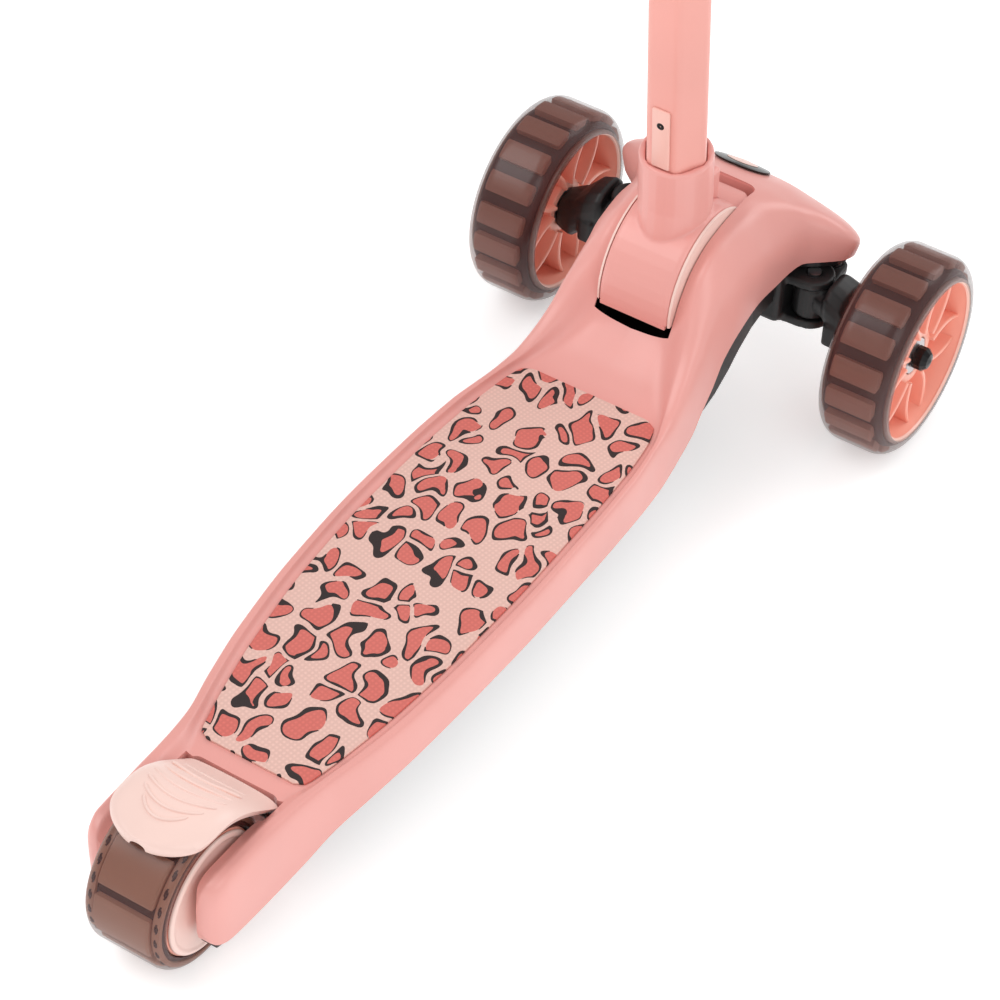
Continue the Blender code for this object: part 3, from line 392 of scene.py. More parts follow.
def smooth(points, per_span):
    """Catmull-Rom curve through the points."""
    ends = [points[0]] + list(points) + [points[-1]]
    out = []
    for i in range(len(points) - 1):
        p0, p1, p2, p3 = (Vector(p) for p in ends[i:i + 4])
        for k in range(per_span):
            t = k / per_span
            out.append(0.5 * (2.0 * p1 + (p2 - p0) * t + (2.0 * p0 - 5.0 * p1 + 4.0 * p2 - p3) * t * t
                              + (3.0 * p1 - p0 - 3.0 * p2 + p3) * t ** 3))
    out.append(Vector(points[-1]))
    return out


def arc(centre_a, centre_b, radius, start, end, steps):
    points = []
    for k in range(steps + 1):
        a = math.radians(start + (end - start) * k / steps)
        points.append((centre_a + radius * math.cos(a), centre_b + radius * math.sin(a)))
    return points


def bake_modifiers(obj):
    evaluated = obj.evaluated_get(bpy.context.evaluated_depsgraph_get())
    mesh = bpy.data.meshes.new_from_object(evaluated)
    obj.modifiers.clear()
    obj.data = mesh


def softened(name, node_name, voxel, rounds, finish, body):
    """Copy of a CAD solid with its edges melted round, as a moulding or casting has them."""
    obj = bpy.data.objects.new(name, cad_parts[node_name].data.copy())
    bpy.context.collection.objects.link(obj)
    remesh = obj.modifiers.new("remesh", "REMESH")
    remesh.mode = "VOXEL"
    remesh.voxel_size = voxel * MM
    melt = obj.modifiers.new("melt", "SMOOTH")
    melt.factor = 0.6
    melt.iterations = rounds
    bpy.context.view_layer.update()
    bake_modifiers(obj)
    finish_piece(obj, finish, 50.0)
    enrol(obj, body, (node_name,))


def cut(target, cutter_data):
    """Take a bmesh, in millimetres, away from an object."""
    cutter = new_object("cutter", cutter_data)
    step = target.modifiers.new("cut", "BOOLEAN")
    step.operation = "DIFFERENCE"
    step.solver = "EXACT"
    step.object = cutter
    bpy.context.view_layer.update()
    bake_modifiers(target)
    bpy.data.objects.remove(cutter, do_unlink=True)


def prism(outline, low, high):
    """Upright solid from an outline in plan."""
    return lofted([[(a, b, h) for a, b in outline] for h in (low, high)])


def mirrored(right):
    """Whole closed outline from one half of it."""
    return [(-x, y) for x, y in right[::-1]] + right


def rectangle(half, rear, front):
    return [(-half, rear), (half, rear), (half, front), (-half, front)]


# ---------------------------------------------------------------- body shell

# Along Y: the height of the deck in the middle, then the half width and height of the rim's
# foot, its crest, the outer shoulder and the lower edge, as in the CAD shell.
SHELL = (
    (-291.0, 50.0, 26.0, 50.0, 29.5, 57.0, 32.0, 51.0, 31.0, 40.0),
    (-289.0, 56.0, 26.5, 62.0, 31.5, 67.0, 36.0, 60.0, 35.0, 33.0),
    (-285.0, 60.0, 27.0, 67.0, 33.0, 71.0, 38.7, 64.0, 38.0, 29.5),
    (-277.0, 62.0, 27.0, 69.5, 34.0, 73.0, 40.0, 67.0, 39.5, 27.5),
    (-250.0, 63.0, 27.0, 68.5, 34.5, 73.0, 40.5, 67.0, 40.5, 26.5),
    (-222.0, 63.5, 27.0, 64.5, 36.0, 70.5, 41.5, 66.0, 42.0, 28.0),
    (-200.0, 64.5, 33.5, 64.5, 39.0, 69.0, 43.6, 65.5, 44.5, 33.0),
    (-174.0, 66.0, 39.5, 66.0, 45.0, 70.0, 49.3, 66.5, 50.0, 38.5),
    (-140.0, 68.0, 45.5, 68.0, 51.0, 72.0, 55.2, 68.5, 55.8, 43.5),
    (-86.0, 71.0, 51.0, 71.0, 56.0, 75.0, 60.0, 71.5, 60.3, 47.0),
    (-30.0, 72.0, 53.0, 72.0, 58.0, 76.0, 61.8, 72.5, 62.0, 47.5),
    (20.0, 71.5, 52.5, 71.5, 57.3, 75.5, 61.2, 72.0, 61.6, 46.5),
    (60.0, 70.0, 51.0, 70.0, 55.5, 74.3, 59.5, 70.5, 60.0, 44.5),
    (95.0, 68.7, 47.5, 68.7, 51.0, 73.0, 54.8, 69.5, 57.0, 42.0),
    (112.0, 69.5, 42.5, 70.0, 46.5, 75.0, 52.8, 70.5, 54.5, 41.5),
    (128.0, 74.5, 34.5, 75.5, 42.0, 82.5, 50.0, 77.0, 52.0, 42.0),
    (142.0, 82.0, 28.0, 84.0, 38.5, 93.0, 47.8, 86.0, 50.0, 44.0),
    (148.0, 86.0, 26.0, 89.0, 37.0, 99.5, 47.0, 91.0, 49.2, 47.5),
    (153.0, 89.5, 25.0, 95.0, 36.0, 105.5, 46.5, 96.0, 48.8, 52.0),
    (163.0, 112.0, 24.5, 115.5, 34.0, 117.0, 45.5, 104.0, 48.5, 61.0),
    (174.0, 126.0, 24.5, 128.5, 33.5, 128.5, 45.0, 111.0, 48.5, 75.0),
    (190.0, 135.5, 24.5, 136.5, 33.5, 135.5, 46.5, 117.0, 48.5, 84.0),
    (210.0, 140.0, 25.0, 139.5, 35.0, 136.5, 48.0, 118.5, 48.5, 90.0),
    (228.0, 141.0, 27.0, 140.0, 37.0, 134.5, 49.0, 115.5, 49.8, 91.5),
    (240.0, 139.5, 29.0, 138.0, 41.0, 132.5, 51.0, 115.5, 51.5, 93.5),
    (249.0, 137.0, 31.0, 135.0, 45.5, 129.5, 55.0, 114.5, 54.0, 94.5),
    (256.0, 134.5, 34.0, 131.5, 53.0, 125.0, 63.5, 113.0, 62.0, 95.0),
    (261.0, 132.6, 38.0, 128.5, 59.0, 122.5, 70.0, 111.0, 68.5, 95.5),
    (266.0, 130.2, 39.5, 126.0, 63.0, 119.5, 74.5, 109.5, 73.0, 95.5),
    (272.0, 127.0, 40.0, 122.5, 64.5, 116.0, 75.8, 107.0, 74.5, 95.0),
    (280.0, 121.0, 38.0, 117.0, 61.5, 110.5, 73.0, 102.5, 72.5, 92.5),
    (287.0, 111.5, 34.0, 108.5, 53.0, 103.0, 65.0, 95.0, 65.5, 85.0),
    (293.0, 99.0, 30.0, 96.5, 45.0, 92.0, 54.5, 84.0, 55.5, 70.0),
    (297.0, 84.0, 27.0, 83.0, 38.0, 80.0, 46.0, 73.0, 46.5, 61.0),
    (298.5, 76.0, 24.0, 76.0, 33.0, 73.0, 39.0, 67.0, 39.5, 59.0),
)
SHELL_WALL = 3.0


def limited(a, b):
    """Slope that keeps a curve from overshooting."""
    return 0.0 if a * b <= 0.0 else 2.0 * a * b / (a + b)


def station(y):
    """Shell values at any Y, eased between the rows either side."""
    rows = SHELL
    i = max(k for k in range(len(rows) - 1) if rows[k][0] <= y or k == 0)
    before, here = rows[max(i - 1, 0)], rows[i]
    after, beyond = rows[i + 1], rows[min(i + 2, len(rows) - 1)]
    span = after[0] - here[0]
    t = min(max((y - here[0]) / span, 0.0), 1.0)
    values = []
    for c in range(1, len(here)):
        slope = (after[c] - here[c]) / span
        left = (here[c] - before[c]) / (here[0] - before[0]) if here[0] > before[0] else slope
        right = (beyond[c] - after[c]) / (beyond[0] - after[0]) if beyond[0] > after[0] else slope
        m0, m1 = limited(left, slope) * span, limited(slope, right) * span
        values.append((2 * t ** 3 - 3 * t * t + 1) * here[c] + (t ** 3 - 2 * t * t + t) * m0
                      + (3 * t * t - 2 * t ** 3) * after[c] + (t ** 3 - t * t) * m1)
    return values


def half_section(y, per_span):
    zc, xf, zf, xk, zk, xs, zs, xl, zl = station(y)
    return smooth([(0.0, zc), (xf * 0.6, zc + (zf - zc) * 0.3), (xf, zf), (xk, zk), (xs, zs), (xl, zl)],
                  per_span)


def shell_section(y, per_span, inset=0.0, drop=0.0):
    """One closed cross-section of the shell, from the left lower edge over to the right."""
    half = half_section(y, per_span)
    right = []
    for i, p in enumerate(half):
        run = (half[min(i + 1, len(half) - 1)] - half[max(i - 1, 0)]).normalized()
        right.append((p[0] + run[1] * inset, p[1] - run[0] * inset))
    right[0] = (0.0, half[0][1] - inset)
    if drop:
        right.append((right[-1][0], half[-1][1] - drop))
    left = [(-x, z) for x, z in right[:0:-1]]
    return [(x, y, z) for x, z in left + right]


def spread(low, high, step):
    """Evenly spaced values that pass through every row of the shell between low and high."""
    rows = [low] + [row[0] for row in SHELL if low < row[0] < high] + [high]
    filled = []
    for a, b in zip(rows, rows[1:]):
        count = max(1, math.ceil((b - a) / step))
        filled += [a + (b - a) * k / count for k in range(count)]
    return filled + [high]


def hood_height(x, y):
    """Height of the shell's outer surface over a point of the plan."""
    half = half_section(y, 12)
    for a, b in zip(half, half[1:]):
        if a[0] <= abs(x) <= b[0]:
            return a[1] + (b[1] - a[1]) * (abs(x) - a[0]) / (b[0] - a[0])
    return half[-1][1]


def wheel_gap():
    """Outline of the gap between the fork arms, with rounded corners and a flared mouth."""
    half, corner, flare = 26.2, 5.0, 12.0
    right = arc(half - corner, -222.0, corner, 90.0, 0.0, 8) + [(half, -280.0)]
    right += arc(half + flare, -282.0, flare, 180.0, 215.0, 5) + [(half + 7.0, -300.0)]
    return mirrored(right)


def hood_pocket():
    """Outline of the opening in the hood that the drum stands in."""
    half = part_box("fold_trim_right")[1][0] / MM + 0.6
    rear, front, corner = 152.6, 246.0, 7.0
    return mirrored([(half, rear)] + arc(half - corner, front - corner, corner, 0.0, 90.0, 8))


def build_shell():
    """Fine version of the moulded body, with the wheel gap and the drum's pocket cut through."""
    first, last = SHELL[0][0], SHELL[-1][0]
    outer = lofted([shell_section(y, 9) for y in spread(first, last, 3.0)])
    shell = add_piece("deck_body", outer, SHELL_FINISH, "deck", ("deck_shell",))
    inside = [-210.0] + [row[0] for row in SHELL if -200.0 <= row[0] <= 288.0]
    cut(shell, lofted([shell_section(y, 1, SHELL_WALL, 9.0) for y in inside]))
    cut(shell, prism(wheel_gap(), 10.0, 110.0))
    cut(shell, prism(hood_pocket(), 50.0, 190.0))
    cut(shell, prism(rectangle(29.3, -236.0, -219.0), 59.0, 90.0))
    finish_piece(shell, SHELL_FINISH, 32.0)
    shell.modifiers.new("weighted", "WEIGHTED_NORMAL").keep_sharp = True


def build_pocket_lining():
    """Inner wall of the hood's pocket in front of the collar."""
    half, thick, foot = 23.6, 1.8, 112.0
    points = [(-half, 200.0), (-half, 238.0)] + arc(-16.8, 239.0, 6.8, 180.0, 90.0, 8)
    points += arc(16.8, 239.0, 6.8, 90.0, 0.0, 8) + [(half, 238.0), (half, 200.0)]
    loops = []
    for x, y in points:
        out = Vector((x, y - 225.0)).normalized() * thick
        far_x, far_y = x + out.x, y + out.y
        top = hood_height(far_x, far_y) - 0.8
        loops.append([(x, y, foot), (x, y, top), (far_x, far_y, top), (far_x, far_y, foot)])
    add_piece("pocket_lining", lofted(loops), SHELL_FINISH, "deck")


def build_shroud():
    """Foot of the folding socket: closes the pocket before the collar and lifts with the stem."""
    outline = mirrored([(22.6, 221.0)] + arc(17.2, 233.8, 5.4, 0.0, 90.0, 8))
    loops = [[(x * k, y - (1.0 - k) * 12.0, z) for x, y in outline]
             for k, z in ((1.0, 122.0), (1.0, 135.6), (0.985, 136.6), (0.955, 137.0))]
    shroud = add_piece("fold_shroud", lofted(loops), DRUM_FINISH, "stem")
    cut(shroud, prism(rectangle(10.3, 213.0, 226.0), 110.0, 150.0))
    finish_piece(shroud, DRUM_FINISH, 50.0)


def build_mat():
    """Printed sheet with small rounded corners and a soft edge."""
    rear, front, corner, margin, thick = -206.5, 111.5, 4.5, 0.8, 1.1
    count = 110
    loops = []
    for k in range(count + 1):
        y = rear + (front - rear) * k / count
        near = min(y - rear, front - y)
        short = max(0.0, corner - near)
        tuck = corner - math.sqrt(corner ** 2 - short ** 2)
        loops.append(mat_loop(y, station(y)[1] - margin - tuck, thick))
    add_piece("printed_mat", lofted(loops), MAT_FINISH, "deck", ("grip_mat",))


def mat_loop(y, half, thick):
    """Cross-section of the mat: flat below, with its top edges rounded."""
    low = station(y)[0] + 0.3
    across = 24
    under = [(-half + 2.0 * half * i / across, y, low) for i in range(across + 1)]
    over = []
    for i in range(across, -1, -1):
        u = -1.0 + 2.0 * i / across
        edge = 0.4 if abs(u) == 1.0 else 0.0
        over.append(((half - edge * 0.6) * u, y, low + thick - edge))
    return under + over


def build_badge():
    """Black oval badge with a plain pale oval on it."""
    centre_y, half_x, half_y = middle("emblem").y, half_size("emblem", 0), half_size("emblem", 1)
    plate = domed_patch(centre_y, half_x, half_y, 0.9, 1.9, 0.0)
    add_piece("badge_plate", plate, BADGE_FINISH, "deck", ("emblem",))
    oval = domed_patch(centre_y, half_x * 0.46, half_y * 0.5, 2.0, 2.5, 0.22)
    add_piece("badge_shape", oval, CREAM_FINISH, "deck")


def domed_patch(cy, half_x, half_y, low, high, pull, steps=72, rings=6):
    """Closed oval patch that follows the hood between two heights; pull draws it out sideways."""
    made = bmesh.new()
    sheets = []
    for level, dome in ((low, 0.0), (high, 0.35)):
        grid = []
        for ring in range(rings, 0, -1):
            size = ring / rings
            row = []
            for k in range(steps):
                a = 2.0 * math.pi * k / steps
                wide = 1.0 + pull * math.cos(2.0 * a)
                x, y = size * half_x * wide * math.cos(a), cy + size * half_y * math.sin(a)
                rise = level + dome * (1.0 - size ** 4)
                row.append(made.verts.new((x, y, hood_height(x, y) + rise)))
            grid.append(row)
        tip = made.verts.new((0.0, cy, hood_height(0.0, cy) + level + dome))
        for outer, inner in zip(grid, grid[1:]):
            for k in range(steps):
                j = (k + 1) % steps
                made.faces.new((outer[k], outer[j], inner[j], inner[k]))
        for k in range(steps):
            made.faces.new((grid[-1][k], grid[-1][(k + 1) % steps], tip))
        sheets.append(grid[0])
    for k in range(steps):
        j = (k + 1) % steps
        made.faces.new((sheets[0][k], sheets[0][j], sheets[1][j], sheets[1][k]))
    return made


# ---------------------------------------------------------------- wheels

HUB_COVER = (
    (21.9, 33.6), (23.4, 33.2), (24.1, 31.0), (23.1, 29.6), (22.6, 22.0), (23.2, 12.0),
    (24.1, 10.4), (24.1, 4.4), (20.6, 4.4), (20.6, 11.0), (21.8, 14.0),
)


def tyre_skin(half, crown, outer, inner):
    """Section of the clear tyre skin: nearly flat crown and full round shoulders."""
    shoulder = half - crown
    steps = 12
    right = []
    for k in range(steps + 1):
        a = math.radians(90.0 * k / steps)
        right.append((crown + shoulder * math.sin(a), outer - shoulder + shoulder * math.cos(a)))
    flat = [(crown * k / 4.0, outer) for k in range(4)]
    right = flat + right
    left = [(-t, r) for t, r in right[:0:-1]]
    return left + right + [(half - 1.2, inner), (-half + 1.2, inner)]


def tread_blocks(centre, count, fill, half, low, high, per_block):
    """Ring of separate tread blocks around the wheel's axis, each a small curved slab."""
    made = bmesh.new()
    pitch = 2.0 * math.pi / count
    for b in range(count):
        rings = []
        for k in range(per_block + 1):
            a = b * pitch + pitch * fill * (k / per_block - 0.5)
            trim = 1.0 if k in (0, per_block) else 0.0
            section = mirrored([(half - 1.0 - trim, high - trim * 0.7), (half - 0.4 * trim, high - 1.0),
                                (half - trim, low)])
            out_y, out_z = math.cos(a), math.sin(a)
            rings.append([made.verts.new((centre[0] + t, centre[1] + r * out_y, centre[2] + r * out_z))
                          for t, r in section])
        size = len(rings[0])
        for near, far in zip(rings, rings[1:]):
            for i in range(size):
                j = (i + 1) % size
                made.faces.new((near[i], near[j], far[j], far[i]))
        made.faces.new(rings[0])
        made.faces.new(rings[-1][::-1])
    return made


def rib(centre, start, end, bow, low_x, high_x, thick):
    """Thin curved wall from one (radius, degrees) point to another, bowed sideways."""
    a, b = (Vector(arc(0.0, 0.0, r, d, d, 1)[0]) for r, d in (start, end))
    side = Vector((-(b - a).y, (b - a).x)).normalized()
    steps = 18
    loops = []
    for k in range(steps + 1):
        t = k / steps
        here = a.lerp(b, t) + side * bow * 4.0 * t * (1.0 - t)
        run = (b - a) + side * bow * 4.0 * (1.0 - 2.0 * t)
        across = Vector((-run.y, run.x)).normalized() * thick / 2.0
        crown = (high_x - low_x) * 0.05
        right = [(1.0, low_x), (1.0, high_x - crown), (0.55, high_x)]
        section = right + [(-w, x) for w, x in right[::-1]]
        loops.append([(centre[0] + x, centre[1] + here.x + across.x * w, centre[2] + here.y + across.y * w)
                      for w, x in section])
    return lofted(loops)


def merge(parts):
    """One bmesh from several."""
    whole = bmesh.new()
    for part in parts:
        mesh = bpy.data.meshes.new("part")
        part.to_mesh(mesh)
        part.free()
        whole.from_mesh(mesh)
        bpy.data.meshes.remove(mesh)
    return whole


def petals(centre, face, hub, reach, depth):
    """Five pairs of curved ribs that open from the hub like petals, on one face of the web."""
    parts = []
    for k in range(5):
        a = 72.0 * k + (90.0 if face > 0.0 else 126.0)
        for turn in (-1.0, 1.0):
            start, end = (hub, a + turn * 12.0), (reach, a + turn * 27.0 + 6.0)
            parts.append(rib(centre, start, end, turn * -3.6, face * 2.0, face * depth, 2.3))
    return parts


def build_front_wheel(side, word):
    """Clear skin over a dark core with a ring of tread blocks, on a petalled rim."""
    body, tyre = "wheel_" + word, "tyre_" + word
    centre, half, outer = middle(tyre), half_size(tyre, 0), half_size(tyre, 2)
    skin = lathe(centre, X_AXIS, tyre_skin(half, 9.7, outer, 50.3), 128)
    add_piece("tyre_skin_" + word, skin, SKIN_FINISH, body, (tyre,))
    core = rounded(mirrored([(-18.5, 50.4), (-18.5, 52.0), (-16.0, 53.6)]), 1.0)
    add_piece("tyre_core_" + word, lathe(centre, X_AXIS, core, 96), GAP_FINISH, body)
    blocks = tread_blocks(centre, 18, 0.62, 14.6, 53.3, 58.4, 6)
    add_piece("tyre_blocks_" + word, blocks, BLOCK_FINISH, body)
    build_front_rim(centre, side, word, body)


def build_front_rim(centre, side, word, body):
    """Barrel, thin web, hub and petal ribs, with a pale lip on each edge."""
    barrel = rounded(mirrored([(-4.0, 45.6), (-19.4, 47.4), (-19.4, 49.9)]), 0.7)
    web = mirrored([(2.2, 46.6), (1.2, 38.0), (1.6, 26.0), (3.4, 15.5), (3.4, 11.3)])
    hub = rounded(mirrored([(-12.0, 11.3), (-12.0, 16.6), (-3.0, 18.2)]), 0.9)
    parts = [lathe(centre, X_AXIS, outline, steps) for outline, steps in ((barrel, 96), (web, 96), (hub, 64))]
    parts += petals(centre, side, 16.0, 47.0, 15.0) + petals(centre, -side, 16.0, 47.0, 15.0)
    add_piece("rim_" + word + "_body", merge(parts), RIM_FINISH, body, ("rim_" + word,))
    for name, at in (("outer", side), ("inner", -side)):
        lip = [(at * t, r) for t, r in ((19.2, 46.9), (20.3, 47.4), (20.6, 48.6), (20.3, 49.9), (19.0, 50.1))]
        ring = lathe(centre, X_AXIS, lip if at > 0.0 else lip[::-1], 128)
        add_piece("rim_lip_%s_%s" % (word, name), ring, RIM_EDGE_FINISH, body)


def build_rear_wheel():
    """Clear skin over long tread blocks, with a studded band on each shoulder."""
    body = "rear_wheel"
    centre, half, outer = middle("rear_tyre"), half_size("rear_tyre", 0), half_size("rear_tyre", 2)
    skin = lathe(centre, X_AXIS, tyre_skin(half, 15.7, outer, 34.8), 112)
    add_piece("rear_tyre_skin", skin, SKIN_FINISH, body, ("rear_tyre",))
    core = rounded(mirrored([(-21.0, 34.9), (-21.0, 37.0), (-18.6, 38.4)]), 0.9)
    add_piece("rear_tyre_core", lathe(centre, X_AXIS, core, 96), GAP_FINISH, body)
    blocks = tread_blocks(centre, 8, 0.80, 16.4, 38.2, 42.5, 14)
    add_piece("rear_tyre_blocks", blocks, REAR_BLOCK_FINISH, body)
    for side, word in SIDES:
        at = (centre[0] + side * 19.5, centre[1], centre[2])
        row = tread_blocks(at, 26, 0.6, 1.4, 37.6, 41.0, 3)
        add_piece("rear_shoulder_row_" + word, row, GAP_FINISH, body)
        band = rounded([(-2.6, 37.6), (-2.6, 40.3), (2.2, 40.3), (2.2, 37.6)], 0.6)
        ring = lathe(at, X_AXIS, band, 96)
        add_piece("rear_shoulder_band_" + word, ring, REAR_BLOCK_FINISH, body)
    build_rear_rim(centre, body)


def build_rear_rim(centre, body):
    """Spool-shaped rim with a pale dished cover on each side."""
    barrel = mirrored([(21.4, 34.4), (21.4, 31.2), (4.0, 29.0), (4.0, 19.0), (19.8, 16.5), (19.8, 11.3)])
    rim = lathe(centre, X_AXIS, rounded(barrel, 0.8), 80)
    add_piece("rear_rim_body", rim, RIM_FINISH, body, ("rear_rim",))
    for side, word in SIDES:
        disc = rounded([(side * t, r) for t, r in HUB_COVER], 0.6)
        ring = lathe(centre, X_AXIS, disc if side > 0.0 else disc[::-1], 96)
        add_piece("hub_cover_" + word, ring, CREAM_FINISH, body, ("rear_hub_disc_" + word,))


# ---------------------------------------------------------------- fender brake

FENDER = (
    (-221.5, 67.5, 28.0), (-226.0, 71.0, 28.3), (-233.0, 77.0, 28.5), (-244.0, 86.0, 28.5),
    (-254.0, 92.0, 28.5), (-263.0, 94.8, 28.4), (-273.0, 95.4, 28.2), (-279.0, 95.0, 27.4),
    (-283.0, 94.7, 25.8), (-287.0, 94.4, 22.8), (-290.5, 94.2, 19.0), (-293.3, 94.0, 14.4),
    (-295.3, 93.9, 9.6), (-296.0, 93.8, 6.5),
)
FENDER_THICK = 3.2
FENDER_PIN = (-224.5, 61.5)
FENDER_RIDGES = (               # place along Y, half width and sag
    (-236.0, 19.0, 2.5), (-243.0, 20.5, 3.5), (-250.0, 21.0, 4.5), (-257.0, 21.0, 5.5),
    (-264.0, 20.0, 6.5), (-271.0, 17.5, 7.5), (-278.0, 13.0, 8.0),
)
FENDER_WEB = ((-228.0, 65.0), (-222.5, 65.0), (-222.5, 67.0), (-228.0, 69.5))


def fender_row(y):
    """Height of the crown and half width of the fender at any Y."""
    rows = sorted(FENDER)
    for a, b in zip(rows, rows[1:]):
        if a[0] <= y <= b[0]:
            t = (y - a[0]) / (b[0] - a[0])
            t = t * t * (3.0 - 2.0 * t)
            return a[1] + (b[1] - a[1]) * t, a[2] + (b[2] - a[2]) * t
    return rows[-1][1:] if y > rows[-1][0] else rows[0][1:]


def fender_top(x, y):
    top, half = fender_row(y)
    u = min(1.0, abs(x) / half)
    return top - 1.6 * u * u - 3.4 * u ** 9


def fender_section(y, top, half, per_side=16):
    ends = min(y + 296.0, -221.5 - y) / 20.0
    skirt = 3.4 + 2.8 * max(0.0, min(1.0, ends)) ** 0.5
    upper, lower = [], []
    for k in range(-per_side, per_side + 1):
        u = k / per_side
        upper.append((half * u, y, top - 1.6 * u * u - 3.4 * abs(u) ** 9))
        inner = half - 1.8
        hang = 0.4 + (skirt - 2.0) * abs(u) ** 14
        lower.append((inner * u, y, top - FENDER_THICK - 1.6 * u * u - hang))
    return lower + upper[::-1]


def build_fender():
    """Pedal cover with its hinge barrel and web, and seven raised ridges."""
    rows = smooth([Vector(row) for row in FENDER], 8)
    pin = (0.0, FENDER_PIN[0], FENDER_PIN[1])
    barrel = lathe(pin, X_AXIS, tube_section(-19.5, 19.5, 4.6, 2.9, 0.5), 48)
    web = lofted([[(x, y, z) for y, z in FENDER_WEB] for x in (-17.0, 17.0)])
    cover = merge([lofted([fender_section(*row) for row in rows]), barrel, web])
    add_piece("fender_cover", cover, CREAM_FINISH, "fender_brake", ("fender_brake",), 60.0)
    for i, ridge in enumerate(FENDER_RIDGES):
        add_piece("fender_ridge_%d" % (i + 1), smile(*ridge), CREAM_FINISH, "fender_brake",
                  sharp=80.0)


def smile(y, half, sag, radius=0.95):
    """Rounded ridge in the shape of a smile, laid on the fender."""
    steps, around = 40, 12
    path = []
    for k in range(steps + 1):
        u = -1.0 + 2.0 * k / steps
        x, back = half * u, y + sag * (u * u) - sag * 0.4
        path.append(Vector((x, back, fender_top(x, back) + 0.1)))
    loops = []
    for k, here in enumerate(path):
        run = (path[min(k + 1, steps)] - path[max(k - 1, 0)]).normalized()
        across = run.cross(Vector((0.0, 0.0, 1.0))).normalized()
        rise = across.cross(run)
        end = min(k, steps - k) / 3.0
        size = radius * math.sqrt(max(0.04, 1.0 - (1.0 - min(1.0, end)) ** 2))
        loops.append([here + across * size * math.cos(a) + rise * size * math.sin(a)
                      for a in (2.0 * math.pi * i / around for i in range(around))])
    return lofted(loops)


# ---------------------------------------------------------------- stem and steering

RAKE = math.radians(5.9)
STEM_FOOT = Vector((0.0, 199.2, 88.4))
UP = Vector((0.0, -math.sin(RAKE), math.cos(RAKE)))
BACK = Vector((0.0, -math.cos(RAKE), -math.sin(RAKE)))
HEX_RADIUS = 18.6               # stem tube, from its axis to its corners


def along(distance, x=0.0, back=0.0):
    """Point, in millimetres, at a distance up the stem's axis."""
    return STEM_FOOT + UP * distance + BACK * back + Vector((x, 0.0, 0.0))


def hexagon(radius, corner, steps=5):
    """Hexagon with a flat towards the rider and rounded corners."""
    corners = []
    for k in range(6):
        a = math.radians(30.0 + 60.0 * k)
        corners.append((radius * math.sin(a), radius * math.cos(a)))
    return rounded(corners, corner, steps)


def build_stem():
    """Hexagonal painted tube with rounded corners and an open top."""
    low, high = 66.0, 350.0
    outer, bore = hexagon(HEX_RADIUS, 3.4), 13.0
    count = len(outer)
    inner = [(bore * math.sin(a), bore * math.cos(a)) for a in
             (math.atan2(x, back) for x, back in outer)]
    loops = [[along(low, x, b) for x, b in outer], [along(high - 0.6, x, b) for x, b in outer],
             [along(high, x * 0.98, b * 0.98) for x, b in outer], [along(high, x, b) for x, b in inner],
             [along(low, x, b) for x, b in inner]]
    rings = [[loop[i] for loop in loops] for i in range(count)]
    add_piece("stem_hex_tube", lofted(rings, closed=True), PAINT_FINISH, "stem", ("stem_tube",),
              sharp=40.0)
    build_key_strip()


def build_key_strip():
    """Pale height-key strip with its screw, on the flat that faces the rider."""
    flat = HEX_RADIUS * math.cos(math.radians(30.0))
    low, high = 103.0, 144.0
    centre = (low + high) / 2.0
    outline = rounded([(-5.3, low), (5.3, low), (5.3, high), (-5.3, high)], 0.9, 3)
    loops = [[along(d, x, flat + 0.25) for x, d in outline],
             [along(d, x, flat + 1.2) for x, d in outline],
             [along(centre + (d - centre) * 0.985, x * 0.94, flat + 1.5) for x, d in outline]]
    add_piece("key_strip_plate", lofted(loops), STRIP_FINISH, "stem", ("key_strip",))
    at = 133.0
    screw = rounded([(-1.0, 0.4), (0.5, 0.4), (0.5, 2.2), (-1.0, 2.2)], 0.3, 2)
    ring = lathe(along(at, 0.0, flat + 1.3), BACK, screw, 32)
    add_piece("stem_screw_head", ring, NUT_FINISH, "stem", ("stem_screw",))


def build_drum():
    """Folding drum with its lower lip, and the release button."""
    softened("fold_drum", "fold_block", 0.75, 5, DRUM_FINISH, "stem")
    lip = [(44.0, 186.0), (44.0, 189.4), (41.9, 189.4), (41.9, 186.0)]
    hinge_y, hinge_z = 196.5, 104.5
    loops = [[(x, hinge_y + r * math.cos(math.radians(a)), hinge_z + r * math.sin(math.radians(a)))
              for r, a in lip] for x in (-20.6, 20.6)]
    add_piece("drum_lip", lofted(loops), DRUM_FINISH, "stem")
    softened("button_cap", "release_button", 0.5, 4, DRUM_FINISH, "release_button")


def build_steering():
    softened("bridge_casting", "front_bridge", 1.0, 3, BLACK_FINISH, "deck")
    for _, word in SIDES:
        softened("steering_arm_" + word, "knuckle_" + word, 0.8, 3, BLACK_FINISH, "knuckle_" + word)


def build_clamp():
    softened("clamp_ring", "clamp_collar", 0.7, 3, BLACK_FINISH, "stem")
    softened("clamp_arm", "clamp_lever", 0.5, 4, BLACK_FINISH, "clamp_lever")


